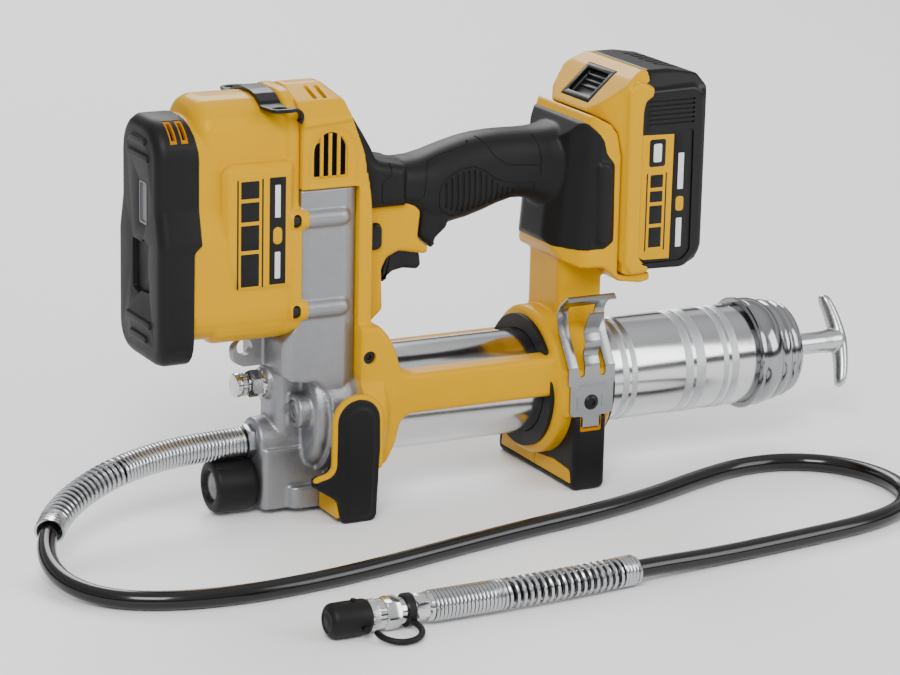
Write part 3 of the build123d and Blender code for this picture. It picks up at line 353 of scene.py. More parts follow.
def lathe(name, profile, y=0.0, z=0.0, segments=96, axis="x", x=0.0):
    """A solid of revolution from (place along the axis, radius) points. It runs along X, Y or Z."""
    work = bmesh.new()
    loops = []
    for along, radius in profile:
        ring = []
        for step in range(segments if radius else 1):
            angle = 2 * math.pi * step / segments
            a, b = radius * math.cos(angle), radius * math.sin(angle)
            ring.append(work.verts.new({"x": (along, y + a, z + b), "y": (x + a, along, z + b),
                                        "z": (x + a, y + b, along)}[axis]))
        loops.append(ring)
    for one, two in zip(loops, loops[1:]):
        for i in range(segments):
            j = (i + 1) % segments
            corners = [one[i % len(one)], one[j % len(one)], two[j % len(two)], two[i % len(two)]]
            unique = list(dict.fromkeys(corners))
            if len(unique) > 2:
                work.faces.new(unique)
    for ring in (loops[0], loops[-1]):
        if len(ring) > 1 and len(ring) == segments and ring[0].link_edges and any(
                len(e.link_faces) < 2 for e in ring[0].link_edges):
            work.faces.new(ring)
    made = object_from_bmesh(name, work)
    smooth(made, 28)
    return made


def loft(name, rings, closed_ends=True, angle=40.0):
    """A skin over rings that each have the same number of points."""
    work = bmesh.new()
    loops = [[work.verts.new(p) for p in ring] for ring in rings]
    for one, two in zip(loops, loops[1:]):
        for i in range(len(one)):
            j = (i + 1) % len(one)
            work.faces.new((one[i], one[j], two[j], two[i]))
    if closed_ends:
        work.faces.new(loops[0])
        work.faces.new(loops[-1])
    made = object_from_bmesh(name, work)
    smooth(made, angle)
    return made


def circle(centre, radius, one, two, sides):
    """Points round a centre, in the plane of two directions."""
    return [centre + radius * (math.cos(2 * math.pi * k / sides) * one
                               + math.sin(2 * math.pi * k / sides) * two) for k in range(sides)]


def join(name, pieces):
    """Joins the meshes of several pieces, which may pass into each other, into one object."""
    work = bmesh.new()
    for piece in pieces:
        work.from_mesh(piece.data)
        bpy.data.objects.remove(piece)
    mesh = bpy.data.meshes.new(name)
    work.to_mesh(mesh)
    work.free()
    return add_object(name, mesh)


def boolean(piece, other, operation):
    """Changes a piece by another one, which it uses up."""
    step = piece.modifiers.new("step", "BOOLEAN")
    step.operation, step.solver, step.object = operation, "EXACT", other
    settle(piece)
    bpy.data.objects.remove(other)
    return piece


def cut(piece, *cutters):
    for cutter in cutters:
        boolean(piece, cutter, "DIFFERENCE")
    return piece


def mould(piece, voxel=0.9, rounds=5, strength=0.5):
    """Melts a piece's overlapping solids into one skin, with small fillets at every edge."""
    remesh = piece.modifiers.new("skin", "REMESH")
    remesh.mode, remesh.voxel_size, remesh.adaptivity = "VOXEL", voxel * MM, 0.0
    soften = piece.modifiers.new("soften", "SMOOTH")
    soften.factor, soften.iterations = strength, rounds
    settle(piece)
    piece.data.shade_smooth()
    return piece


def bevelled(piece, width=0.5, segments=2, angle=35.0):
    """Rounds a piece's hard edges by a real bevel."""
    edges = piece.modifiers.new("bevel", "BEVEL")
    edges.width, edges.segments = width * MM, segments
    edges.limit_method, edges.angle_limit = "ANGLE", math.radians(angle)
    edges.harden_normals = False
    settle(piece)
    smooth(piece, 30)
    return piece


def dress(piece, body, look, *replaced):
    """Gives a piece its body and its material, and hides the CAD nodes that it stands for."""
    piece.data.materials.clear()
    piece.data.materials.append(look)
    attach(piece, body)
    if replaced:
        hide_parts(*replaced)
    return piece


def box(name, x0, x1, y0, y1, z0, z1):
    """A plain block, for cutting."""
    return plate(name, rect(x0, x1, z0, z1), y0, y1)


def curve_line(points, name="line", bevel=0.0, resolution=12):
    """An open NURBS curve through a list of control points in millimetres."""
    data = bpy.data.curves.new(name, "CURVE")
    data.dimensions = "3D"
    spline = data.splines.new("NURBS")
    spline.points.add(len(points) - 1)
    for target, source in zip(spline.points, points):
        target.co = (*[v * MM for v in source], 1)
    spline.order_u = 3
    spline.use_endpoint_u = True
    data.resolution_u = resolution
    if bevel:
        data.bevel_depth, data.bevel_resolution = bevel * MM, 8
        data.use_fill_caps = True
    return add_object(name, data)


def line_points(curve):
    """The points that a curve with no bevel runs through, in millimetres."""
    graph = bpy.context.evaluated_depsgraph_get()
    mesh = bpy.data.meshes.new_from_object(curve.evaluated_get(graph))
    return [Vector(v.co) / MM for v in mesh.vertices]


def carried_frames(path, normal=None):
    """Each point of a path with two directions across it, which turn no more than the path does."""
    frames = []
    for index, here in enumerate(path):
        tangent = (path[min(index + 1, len(path) - 1)] - path[max(index - 1, 0)]).normalized()
        normal = normal or tangent.orthogonal().normalized()
        normal = (normal - tangent * normal.dot(tangent)).normalized()
        frames.append((here, normal, tangent.cross(normal)))
    return frames


def wire_mesh(name, centreline, radius, sides=8):
    """A round wire along close points, with both ends closed."""
    return loft(name,
                [circle(here, radius, normal, side, sides)
                 for here, normal, side in carried_frames(centreline)])


# ---- hose and spring guards ---------------------------------------------------------------------
def make_hose():
    hose = curve_line(HOSE_ROUTE, "hose_run", bevel=HOSE_D / 2)
    dress(hose, "tool", HOSE_RUBBER, "hose")
    guide = curve_line(HOSE_ROUTE, "guide")
    path = line_points(guide)
    bpy.data.objects.remove(guide)
    return hose, path


def coil_along(name, path, start, length, pitch_at):
    """A spring round a path: it starts some way along it, and its pitch may change on the way."""
    places = [0.0]
    for a, b in zip(path, path[1:]):
        places.append(places[-1] + (b - a).length)
    frames = carried_frames(path, Vector((0, 0, 1)))
    steps_per_turn = 20
    points, travelled, angle, segment = [], 0.0, 0.0, 0
    while travelled < length:
        here = start + travelled
        while segment < len(places) - 2 and places[segment + 1] < here:
            segment += 1
        share = (here - places[segment]) / (places[segment + 1] - places[segment])
        share = min(max(share, 0.0), 1.0)
        middle, normal, side = (a.lerp(b, share) for a, b in zip(frames[segment], frames[segment + 1]))
        points.append(middle
                      + GUARD_R * (math.cos(angle) * normal.normalized()
                                   + math.sin(angle) * side.normalized()))
        travelled += pitch_at(travelled / length) / steps_per_turn
        angle += 2 * math.pi / steps_per_turn
    return wire_mesh(name, points, GUARD_WIRE_R)


def path_length(path):
    return sum((b - a).length for a, b in zip(path, path[1:]))


hose, hose_path = make_hose()
HOSE_LENGTH = path_length(hose_path)
TIGHT, OPEN = 2.08, 3.5
front_guard = coil_along("front_guard_coil", hose_path, 1.0, 138.0,
                         lambda s: TIGHT if s < 0.52 or s > 0.93 else OPEN)
dress(front_guard, "tool", SPRING, "hose_guard_front")
rear_guard = coil_along("rear_guard_coil", hose_path, HOSE_LENGTH - 121, 120.0,
                        lambda s: TIGHT if s < 0.09 or s > 0.66 else OPEN * 1.1)
dress(rear_guard, "tool", SPRING, "hose_guard_rear")


# ---- motor housing, its cap and the strap bracket -------------------------------------------------
UPPER_W, LOWER_W = 25.5, 30.0
CAP_FRONT_X, CAP_EDGE_X, CAP_TONGUE_X = -107.6, -91.0, -85.0
CAP_TOP, CAP_BASE = 217.0, 90.0
SHOULDER_R = 20.0
PANEL_Y = 31.2           # raised label panel's face
HOUSING_REAR_X = -30.0
SIDES = (("left", -1), ("right", 1))
SHOULDER_SCREW = {"x": 7.4, "z": 87, "segments": 32}


def peanut(grow=0.0, top=226.0, base=101.0):
    """The motor housing's section as (y, z, radius) corners: a narrow lobe over a wider one."""
    up, low = UPPER_W + grow, LOWER_W + grow
    return [(-low, base - grow, 16), (low, base - grow, 16), (low, 155, 14), (up, 173, 14),
            (up, top + grow, SHOULDER_R), (-up, top + grow, SHOULDER_R), (-up, 173, 14), (-low, 155, 14)]


def arc(centre, radius, start_deg, end_deg, steps=8, stretch=1.0):
    """Points round part of a circle, which may be stretched in its second direction."""
    points = []
    for step in range(steps + 1):
        angle = math.radians(start_deg + (end_deg - start_deg) * step / steps)
        points.append((centre[0] + radius * math.cos(angle), centre[1] + radius * math.sin(angle) * stretch))
    return points


def ring_sector(centre, low_r, high_r, start_deg, end_deg, steps=8):
    """An arc-shaped outline between two radii."""
    return arc(centre, low_r, start_deg, end_deg, steps) + arc(centre, high_r, end_deg, start_deg, steps)


def both_sides(half):
    """A closed outline in (y, z) from its right half."""
    return [(-y, *rest) for y, *rest in half] + half[::-1]


def plan_of(half):
    """A closed outline in (x, y) from its right half."""
    return [(x, -y, *rest) for x, y, *rest in half] + half[::-1]


def make_motor_housing():
    solids = [plate("body", peanut(), -84.5, HOUSING_REAR_X, "x", rim=(9, 0), steps=8),
              plate("nose", peanut(-0.3, top=216.6), -89.6, -75, "x"),
              plate("belly", [(-28, 98.4, 15), (28, 98.4, 15), (29.4, 130), (-29.4, 130)], -77,
                    HOUSING_REAR_X, "x", rim=(3, 0)),
              plate("flange", peanut(1.7, top=227), -37, HOUSING_REAR_X, "x", rim=(2, 0))]
    for _, side in SIDES:
        rims = outward(side, 3.0)
        solids.append(plate("panel",
                            [(-74, 146, 4), (-74, 194.5, 6), (-34, 194.5, 2), (-34, 127, 2), (-67, 127, 4)],
                            *span(side, 18, PANEL_Y), rim=rims, chamfer=True))
        for z in SCREW_Z:
            solids.append(lathe("boss",
                                [(-37.2, 0), (-37.2, 4.4), (-36.2, 5.6), (-27.0, 5.8), (-25.6, 4.8),
                                 (-25.6, 0)], y=side * SCREW_Y, z=z, segments=40))
    housing = mould(join("motor_housing_shell", solids), 0.8, 6)
    holes = []
    for _, side in SIDES:
        for z in SCREW_Z:
            holes.append(lathe("hole", rod(-36.3, -32.4, 3.8), y=side * SCREW_Y, z=z, segments=32))
            holes.append(plate("notch", rect(-35.8, -31.2, z - 3.6, z + 3.6, 2.4), *span(side, 26, 40)))
    cut(housing, *holes)
    smooth(housing, 50)
    dress(housing, "tool", YELLOW, "motor_housing")


def make_screw_heads():
    """The black heads that show in the notches of the motor housing's flange."""
    for name, side in SIDES:
        for index, z in enumerate(SCREW_Z):
            head = lathe(f"flange_screw_{name}_{index}",
                         [(-36, 0), (-36, 3.4), (-35.4, 3.9), (-31.0, 3.9), (-31.0, 0)],
                         y=side * (SCREW_Y + 0.6), z=z, segments=40)
            dress(head, "tool", BLACK_COATED)


def mark(label, corners, look, body, inner, outer, rim_of):
    """A thin mark on both sides of the tool."""
    for name, side in SIDES:
        dress(plate(f"{label}_{name}", corners, *span(side, inner, outer), rim=rim_of(side), steps=2), body,
              look)


def make_labels():
    """Plain bars and strips where the real tool has its print."""
    def print_mark(label, corners, look=LABEL_DARK, rise=0.0):
        mark(label, corners, look, "tool", PANEL_Y - 0.4, PANEL_Y + 0.18 + rise, lambda side: (0.08, 0.08))

    print_mark("label_line_front", rect(-66.6, -65.8, 130, 187, 0.4))
    print_mark("label_line_rear", rect(-52.8, -52.0, 130, 187, 0.4))
    for index, (z0, z1) in enumerate(((131, 148), (150, 163), (165, 175), (177, 186))):
        print_mark(f"label_block_{index}", rect(-64.4, -54.4, z0, z1, 0.4))
    print_mark("label_strip", rect(-48.6, -39.6, 131, 187, 0.4))
    for index, (z0, z1) in enumerate(((134, 148), (166, 183))):
        print_mark(f"label_tick_{index}", rect(-45.6, -42.6, z0, z1, 0.4), LABEL_PALE, 0.06)
    print_mark("label_dot", rect(-46.6, -41.6, 152, 161, 2.4), YELLOW, 0.06)


WINDOW = rect(-11, -1.5, 163, 185, 1.5)


def make_motor_cap():
    cap = plate("motor_cap_boot", peanut(0.5, top=CAP_TOP, base=CAP_BASE), CAP_FRONT_X, CAP_TONGUE_X, "x",
                rim=(6.5, 0.8), steps=8)
    below = [(CAP_EDGE_X + 1.6, 60), (-70, 60), (-70, 155), (CAP_TONGUE_X, 155, 3.5),
             (CAP_EDGE_X + 1.6, 151, 3.5), (CAP_EDGE_X + 1.2, 112, 8)]
    above = [(CAP_TONGUE_X, 198, 6), (-86.4, 210, 6), (-88.2, 219), (-88.2, 240), (-70, 240), (-70, 198)]
    cut(cap, plate("low", below, -60, 60), plate("high", above, -60, 60))
    shoulder_y, shoulder_z = UPPER_W + 0.5 - SHOULDER_R, CAP_TOP + 0.5 - SHOULDER_R
    vents = []
    for name, side in SIDES:
        start, end = (108, 153) if side < 0 else (27, 72)
        for index, (x0, x1) in enumerate(((-99.8, -96.0), (-93.8, -90.0))):
            vents.append((f"{name}_{index}", (side * shoulder_y, shoulder_z), start, end, x0, x1))
    for _, centre, start, end, x0, x1 in vents:
        cut(cap, plate("slot", ring_sector(centre, 15, 24, start, end), x0, x1, "x"))
    bars = [plate("bar", rect(-12.5 * k, 12.5 * k, z - 2, z + 2, 2), CAP_FRONT_X - 1.1, CAP_FRONT_X + 2, "x",
                  rim=(0.9, 0)) for z, k in ((205.5, 0.8), (197.5, 1.1), (111, 1.3), (102.5, 0.9))]
    for bar in bars:
        boolean(cap, bar, "UNION")
    pocket = [(-14.5, 128, 1), (-14.5, 134, 1), (-12.5, 136, 1), (-12.5, 150, 1), (-14.5, 153, 1),
              (-6, 155, 1), (-4, 153, 1), (8, 153, 1), (8, 127, 1), (0, 125, 1), (-3, 127, 1)]
    cut(cap, plate("pocket", pocket, CAP_FRONT_X - 2, CAP_FRONT_X + 2.6, "x"),
        plate("window", WINDOW, CAP_FRONT_X - 2, CAP_FRONT_X + 1.0, "x"))
    dress(bevelled(cap, 0.35, 2, 40), "tool", BLACK_RUBBER, "motor_cap")
    for name, centre, start, end, x0, x1 in vents:
        liner = plate(f"vent_liner_{name}", ring_sector(centre, 16.2, 19.6, start + 0.5, end - 0.5),
                      x0 + 0.05, x1 - 0.05, "x")
        cut(liner, plate("inner", ring_sector(centre, 17.0, 24, start + 6, end - 6), x0 + 0.9, x1 - 0.9, "x"))
        smooth(liner)
        # The liner wears the darker yellow: painted shade inside the vent.
        dress(liner, "tool", SHADED_YELLOW)
        # A near-black sheet deep in the vent: painted shade of the opening.
        floor = plate(f"vent_floor_{name}", ring_sector(centre, 15.6, 17.1, start + 5, end - 5), x0 + 0.8,
                      x1 - 0.8, "x")
        dress(floor, "tool", PAINTED_SHADE_BLACK)
    frame_ring = plate("window_frame", WINDOW, CAP_FRONT_X - 0.2, CAP_FRONT_X + 1.0, "x", rim=(0.2, 0))
    cut(frame_ring, plate("inner", rect(-10.2, -2.3, 164, 184, 1), CAP_FRONT_X - 2, CAP_FRONT_X + 0.7, "x"))
    smooth(frame_ring)
    dress(frame_ring, "tool", WINDOW_GREY)


def make_strap_bracket():
    """A stamped strap over the housing, with a lug, an oval hole and a curled ear at each side."""
    x0, x1, top, low = -49.5, -37.6, 226.0, 219.6
    inner, outer, thick = UPPER_W + 0.1, UPPER_W + 2.2, 2.0
    band = plate("strap_band", [(-outer, 150), (-outer, top + 2.2, 22), (outer, top + 2.2, 22), (outer, 150),
                                (inner, 150), (inner, top + 0.1, 20), (-inner, top + 0.1, 20), (-inner, 150)],
                 x0, x1, "x")
    cut(band, box("below", -80, 0, -60, 60, 140, low + 1.4))
    solids = [band]
    for _, side in SIDES:
        lug = plate("lug",
                    [(x0 - 1, side * 19.5, 2), (x0 + 1, side * 35.5, 5), (x1 - 1, side * 36.6, 4),
                     (-36, side * 35, 0.5), (-36, side * 30.5, 0.5), (x1 - 1, side * 30, 2),
                     (x1 + 1, side * 19.5, 1)], low + 1, low + 1 + thick, "z")
        hole = plate("hole", rect(-46.6, -39.4, side * 28.5, side * 33, 2.2), low - 3, low + 8, "z")
        cut(lug, hole)
        ear = plate("ear", ring_sector((-36, low - 1.9), 2.9, 4.9, -50, 110, steps=12),
                    *span(side, 30.5, 35), axis="y")
        solids += [lug, ear]
    bracket = mould(join("strap_bracket_stamping", solids), 0.45, 4)
    dress(bracket, "tool", BLACK_COATED, "strap_bracket")


make_motor_housing()
make_screw_heads()
make_labels()
make_motor_cap()
make_strap_bracket()


# ---- frame: head, spine, collars, beams, column and battery mount ---------------------------------
HEAD_W = 31.0
COLLAR_R = 41.0
BEAM_Y = 35.5
MOUNT_W = 34.0
FOOT_W = 44.0
FRONT_PAD = [
    (-11.5, 0, 4), (-13, 12.5, 4), (-25.4, 20.6, 1.5), (-25.4, 25.2, 1.5), (-14.6, 27.6, 13),
    (-14.3, 67.7, 12.2), (10.4, 67.7, 12.2), (10.8, 40, 8), (9, 0, 4),
]
MOUNT_LEAN = 0.09        # how far the mount's front leans back with its height
MOUNT_PLAN = plan_of([(122, 12, 8), (127, 22, 12), (138, 34.6, 14), (220, 34.6)])


def sheared(piece, slope, about):
    """Leans a piece along X with its height."""
    for vertex in piece.data.vertices:
        vertex.co.x += (vertex.co.z - about * MM) * slope
    return piece


def make_frame():
    head = plate("head", [(-30, 178), (-30, 228, 2), (-11, 228, 3), (-5, 222, 4), (-1, 213, 8),
                          (5.5, 196, 12), (9, 178, 14), (10.4, 163, 8), (10.4, 64), (2, 64), (2, 178)],
                 -HEAD_W + 0.8, HEAD_W - 0.8)
    crown = plate("crown",
                  [(-30.4, 211, 1), (-30.4, 229.6, 2), (-8.5, 229.6, 4), (-3.2, 222, 4), (-2.4, 213.4, 1.2)],
                  -HEAD_W - 0.9, HEAD_W + 0.9)
    crown_half = [(HEAD_W + 0.9, 150), (HEAD_W + 0.9, 215.2, 2.5), (24, 223, 6), (4, 229.4, 6)]
    head_half = [(HEAD_W - 0.8, 50), (HEAD_W - 0.8, 213.6, 3), (23, 221.6, 6), (4, 228, 6)]
    for piece, half in ((crown, crown_half), (head, head_half)):
        boolean(piece, plate("section", both_sides(half), -60, 30, "x"), "INTERSECT")
    for _, side in SIDES:
        arch = [(-26.5, 179.5, 1), (-26.5, 196, 1), *arc((-12.2, 195.5), 14.3, 168, 0, 14), (2.1, 179.5, 1)]
        cut(head, plate("arch", arch, *span(side, HEAD_W - 1.8, HEAD_W + 3)))
    shoulder = [(2, 26), (2, 104), (14, 103, 3), (19, 97.5, 4), (23.5, 89, 8), (27, 77, 5), (34, 75, 4),
                (60, 75), (60, 53), (32, 53, 6), (27, 50, 6), (24, 38, 8), (19, 28, 4), (12, 24)]
    trigger_house = [(13, 164), (31, 164, 2), (43.5, 163, 3), (46.5, 157, 4), (45, 143, 3), (51.5, 138, 2),
                     (51, 133.5, 2), (34, 137, 3), (27, 134, 3), (24, 128, 3), (25, 106, 4), (18, 100),
                     (13, 100)]
    mount = [(121, 150, 6), (121, 138, 4), (123, 131, 3), (127, 125, 4), (134, 122, 5), (147, 121.5, 3),
             (157, 113, 2), (171, 110.8, 3), (177, 112, 2), (176, 116.4), (156.2, 116.4), (156.2, 182, 6),
             (153.5, 194, 4), (149.5, 199.5, 4), (142, 203.6, 4), (139.8, 204.8, 1.5), (137.6, 201.6, 2),
             (129.5, 190, 8), (125.5, 176, 8)]
    mount_block = plate("mount", mount, -MOUNT_W, MOUNT_W)
    boolean(mount_block, sheared(plate("plan", MOUNT_PLAN, 90, 230, "z"), MOUNT_LEAN, 150), "INTERSECT")
    solids = [
        head,
        crown,
        plate("spine", [(2, 64), (10.6, 64), (10.6, 163), (9.2, 178, 5), (2, 178)], -HEAD_W, HEAD_W,
              rim=(2.0, 2.0)),
        plate("shoulder", shoulder, -BEAM_Y, BEAM_Y, rim=(3, 3)),
        plate("beams", rect(10, 125, 53, 75), -BEAM_Y, BEAM_Y, rim=(3, 3)),
        lathe("front_collar", [(2, 0), (2, COLLAR_R), (15, COLLAR_R), (18.5, COLLAR_R - 3.5), (18.5, 0)],
              z=AXIS_Z),
        lathe("rear_collar",
              [(118, 0), (118, COLLAR_R - 2.5), (120.5, COLLAR_R), (150.5, COLLAR_R), (153, COLLAR_R - 2.5),
               (153, 0)], z=AXIS_Z),
        plate("clip_pad", rect(122.5, 151.5, 42.5, 68), -42, -30),
        plate("column", plan_of([(129, 16.5, 2.5), (134.2, 19.5, 2), (155.2, 19.5, 3)]), 70, 127, "z"),
        plate("trigger_house", trigger_house, -15, 15, rim=(2.5, 2.5)),
        mount_block,
    ]
    for _, side in SIDES:
        rim_plate = plate("foot_rim", inset(rounded_outline(FRONT_PAD), -2.1),
                          *span(side, FOOT_W - 4.8, FOOT_W - 1.2))
        cut(rim_plate,
            plate("low_front", [(-60, -10), (60, -10), (60, 31), (13, 29), (0, 24), (-60, 24.5)], -60, 60))
        solids.append(rim_plate)
    frame_shell = mould(join("frame_shell", solids), 0.95, 5)
    bore = lathe("bore", rod(-20, 200, 31.5), z=AXIS_Z)
    gap = [plate("gap", rect(-60, 2.6, 54, 178.2), -40, 40),
           plate("under", rect(-60, 1.9, -20, 60), -34.5, 34.5),
           plate("floor", rect(-60, 60, -20, 0.6), -60, 60),
           plate("belly", rect(1, 60, -20, 30), -34.5, 34.5)]
    cut(frame_shell, bore, *gap)
    slot_room = plate("trigger_room",
                      [(20, 131.5), (27.5, 117), (53.5, 124), (53.5, 140.5), (43.8, 144.5), (36.8, 161.5),
                       (25.5, 161.5), (25, 136.5)], -8.4, 8.4)
    button_room = plate("button_room", rect(15.1, 22.9, 139.1, 153.9, 3.7), -20, 20)
    cut(frame_shell, slot_room, button_room)
    for _, side in SIDES:
        grille = [(-23.4, 183.5, 1), *arc((-13.6, 195.5), 9.8, 180, 0, 15, stretch=1.25), (-3.8, 183.5, 1)]
        cut(frame_shell,
            plate("grille", grille, *span(side, HEAD_W - 3.0, HEAD_W + 3), rim=outward(-side, 0.8)))
        screw_hole = lathe("screw_hole", rod(side * 29.4, side * 50, 3.6), axis="y", **SHOULDER_SCREW)
        tiny = [plate("tiny", [(6.6, z, 0.5), (8.4, z - 0.6, 0.5), (8.0, z + 7, 0.5), (6.2, z + 7.4, 0.5)],
                      *span(side, HEAD_W - 4, HEAD_W + 3)) for z in (184.6, 193.4)]
        cut(frame_shell, screw_hole, *tiny)
    for _, side in SIDES:
        for x in (-19.0, -13.4):
            slot = plate("crown_slot", rect(x - 1.25, x + 1.25, side * 8, side * 21.5, 1.2), 221, 240, "z")
            cut(frame_shell, slot)
    for name, side in SIDES:
        half = add_object(f"frame_{name}_shell", frame_shell.data.copy())
        cut(half, box("away", -300, 400, *span(side, -0.08, -200), -50, 300))
        smooth(half, 42)
        dress(half, "tool", YELLOW, f"frame_{name}")
    bpy.data.objects.remove(frame_shell)


def make_grille_slots():
    """The dark slots of each side grille, which are sheets of painted shade in its vents, its yellow bars,
    and the shoulder's black screw.
    """
    for name, side in SIDES:
        slots = ((-20.9, 202.6, 1.8), (-16.1, 207.2, 1.0), (-11.3, 207.6, 0), (-6.5, 204.0, -1.6))
        for index, (x, height, drop) in enumerate(slots):
            # Each slot is a near-black sheet of painted shade on the grille's floor.
            outline = [(x - 1.6, 184.6, 0.6), (x + 1.6, 184.6, 0.6), (x + 1.6, height, 0.6),
                       (x - 1.6, height - drop, 0.6)]
            slot = plate(f"grille_slot_{name}_{index}", outline, *span(side, HEAD_W - 3.2, HEAD_W - 2.85))
            dress(slot, "tool", PAINTED_SHADE_BLACK)
        for index, x in enumerate((-18.5, -13.7, -8.9)):
            bar = plate(f"grille_bar_{name}_{index}", rect(x - 0.95, x + 0.95, 184.4, 207),
                        *span(side, HEAD_W - 3.2, HEAD_W - 1.9), rim=outward(side, 0.5))
            dress(bar, "tool", YELLOW)
        profile = [(29, 0), (29, 3.5), (33.6, 3.5), (33.6, 1.6), (32.6, 1.5), (32.6, 0)]
        dress(lathe(f"shoulder_screw_{name}", [(side * y, r) for y, r in profile], axis="y",
                    **SHOULDER_SCREW), "tool", BLACK_COATED)


make_frame()
make_grille_slots()


# ---- grip rubber, battery mount cover and collar rings --------------------------------------------
GRIP_SECTIONS = [          # x, top z, bottom z, half-width
    (14, 188.5, 158, 16.5), (26, 186.4, 158, 17), (38, 184.6, 158, 17), (47, 185.2, 152, 17),
    (55, 187.2, 145.5, 17), (61, 189, 146, 17), (68, 191, 148, 17), (76, 193, 149.4, 17),
    (85, 194.4, 152, 17), (94, 195, 155.2, 17), (103, 195, 157.6, 17), (110, 194.8, 157.4, 17),
    (116, 194.8, 155.8, 17.6), (122, 195.2, 152.4, 18.8), (128, 196, 149, 21), (134, 197, 146, 24),
]


def grip_ring(x, top, bottom, half, count=72, power=2.6):
    """One section of the grip: a rounded square that stands in the Y-Z plane."""
    ring = []
    middle, tall = (top + bottom) / 2, (top - bottom) / 2
    for step in range(count):
        angle = 2 * math.pi * step / count
        c, s = math.cos(angle), math.sin(angle)
        ring.append((x, half * math.copysign(abs(c) ** (2 / power), c),
                     middle + tall * math.copysign(abs(s) ** (2 / power), s)))
    return ring


def carve(piece, lines, radius, sides=8):
    """Cuts grooves into both sides of a piece along lines of (x, z) points laid onto its surface."""
    tree = BVHTree.FromObject(piece, bpy.context.evaluated_depsgraph_get())
    for side in (-1, 1):
        for line in lines:
            points = []
            for (x0, z0), (x1, z1) in zip(line, line[1:]):
                steps = max(2, int(math.hypot(x1 - x0, z1 - z0) / 1.5))
                points += [(x0 + (x1 - x0) * k / steps, z0 + (z1 - z0) * k / steps) for k in range(steps)]
            points.append(line[-1])
            path = []
            for x, z in points:
                hit = tree.ray_cast(Vector((x * MM, side * 0.2, z * MM)), Vector((0, -side, 0)))[0]
                if hit is not None:
                    path.append(hit / MM)
            if len(path) > 2:
                boolean(piece, tube("groove", path, radius, sides), "DIFFERENCE")


def tube(name, path, radius, sides=8):
    """A closed round tube along a list of points, which stays upright."""
    rings = []
    for index, here in enumerate(path):
        ahead = (path[min(index + 1, len(path) - 1)] - path[max(index - 1, 0)]).normalized()
        across = Vector((0, 1, 0)).cross(ahead)
        across = across.normalized() if across.length > 0.05 else Vector((1, 0, 0))
        rings.append(circle(here, radius, across, ahead.cross(across).normalized(), sides))
    return loft(name, rings)


COVER = [(118.2, 150, 8), (119.2, 137, 3), (123, 132.2, 3), (147.1, 131.3, 2), (153.2, 135.2, 3),
         (152.6, 178.4, 3), (147.6, 184.6), (145.7, 191.8, 4), (137.4, 201.0, 3), (134.6, 200.2, 2),
         (125.8, 190, 6), (122.4, 176, 8)]


def make_grip():
    handle = loft("handle", [grip_ring(*section) for section in GRIP_SECTIONS])
    back = plate("back",
                 [(-3, 213), (-1, 217.4, 1.5), (5, 211.5, 6), (10.4, 203, 10), (15.4, 194.5, 8),
                  (18.4, 187.5, 3), (36, 184), (36, 162), (10.2, 162), (9.6, 176, 6), (4, 196, 8)], -21, 21,
                 rim=(6, 6), steps=5)
    tab = plate("tab",
                [(44, 166), (46.8, 158, 3), (45.4, 144, 3), (51.6, 138.6, 2), (53.8, 135.6, 1.2),
                 (55.6, 142, 3), (62, 147.2, 3), (66, 160)], -15.2, 15.2, rim=(3, 3))
    cover = plate("cover", COVER, -MOUNT_W - 0.4, MOUNT_W + 0.4, rim=(1.2, 1.2))
    plan = inset(rounded_outline(MOUNT_PLAN), -0.6)
    boolean(cover, sheared(plate("plan", plan, 90, 230, "z"), MOUNT_LEAN, 150), "INTERSECT")
    solids = [handle, back, tab, cover]
    for _, side in SIDES:
        solids.append(plate("bumper",
                            [(141.2, 134, 4), (150.8, 134.8, 3.4), (150.6, 178.6, 4), (141, 181.4, 4)],
                            *span(side, 30, 36.6), rim=outward(side, 2.8), steps=5))
    grip = mould(join("grip_rubber_skin", solids), 0.8, 4)
    seams = [
        [(24.2, 190.5), (25.5, 185.7), (25.2, 180.2), (22.7, 178.1), (20.6, 177.1), (19.9, 174.4),
         (20.1, 166.5), (21.6, 164.4), (31, 163.8), (43.9, 164.1), (46.5, 165.8), (47.6, 173.6),
         (49.2, 180.6), (51.3, 183.6), (60.7, 186.7), (71.9, 189.4), (75.3, 190.6), (76.3, 193.2),
         (73.6, 195)],
        [(79.2, 195.4), (82.8, 192.5), (86, 187.8), (88, 184.6), (95.7, 179), (116.3, 177.3)],
        [(111.4, 196.8), (113.4, 193), (115.2, 187), (115.9, 180.2), (115.8, 172)],
        [(55.6, 160.4), (55.6, 167), (57, 171.4), (61.6, 175.4), (68.4, 178.5), (75.3, 179.6), (81.3, 177.5),
         (88.4, 172.3), (95.4, 169.3), (104, 168.4), (112.6, 168), (113.2, 164)],
        [(55.6, 160.4), (57, 157.2), (62, 154.4), (66, 153)],
    ]
    carve(grip, seams, 0.42)
    tops = (172.2, 174.6, 176.4, 177.2, 177.8, 177.6, 176.6, 174.4, 171.8, 169.4, 167.4, 166.4, 165.8)
    lows = (158.6, 156.8, 156, 155.6, 155.8, 156.2, 157, 157.8, 158.8, 160, 161, 162, 162.6)
    ribs = []
    for index, (top, low) in enumerate(zip(tops, lows)):
        x = 59.8 + index * 3.4
        ribs.append([(x - 0.4, top), (x + 0.3, low)])
    carve(grip, ribs, 0.75)
    cut(grip,
        plate("house",
              [(10, 160), (31, 163.3, 2), (43.2, 162.4, 3), (45.8, 157, 4), (44.4, 143, 3), (51, 138, 2),
               (50.6, 133), (10, 120)], -14.4, 14.4))
    smooth(grip, 50)
    dress(grip, "tool", BLACK_RUBBER, "grip_rubber")


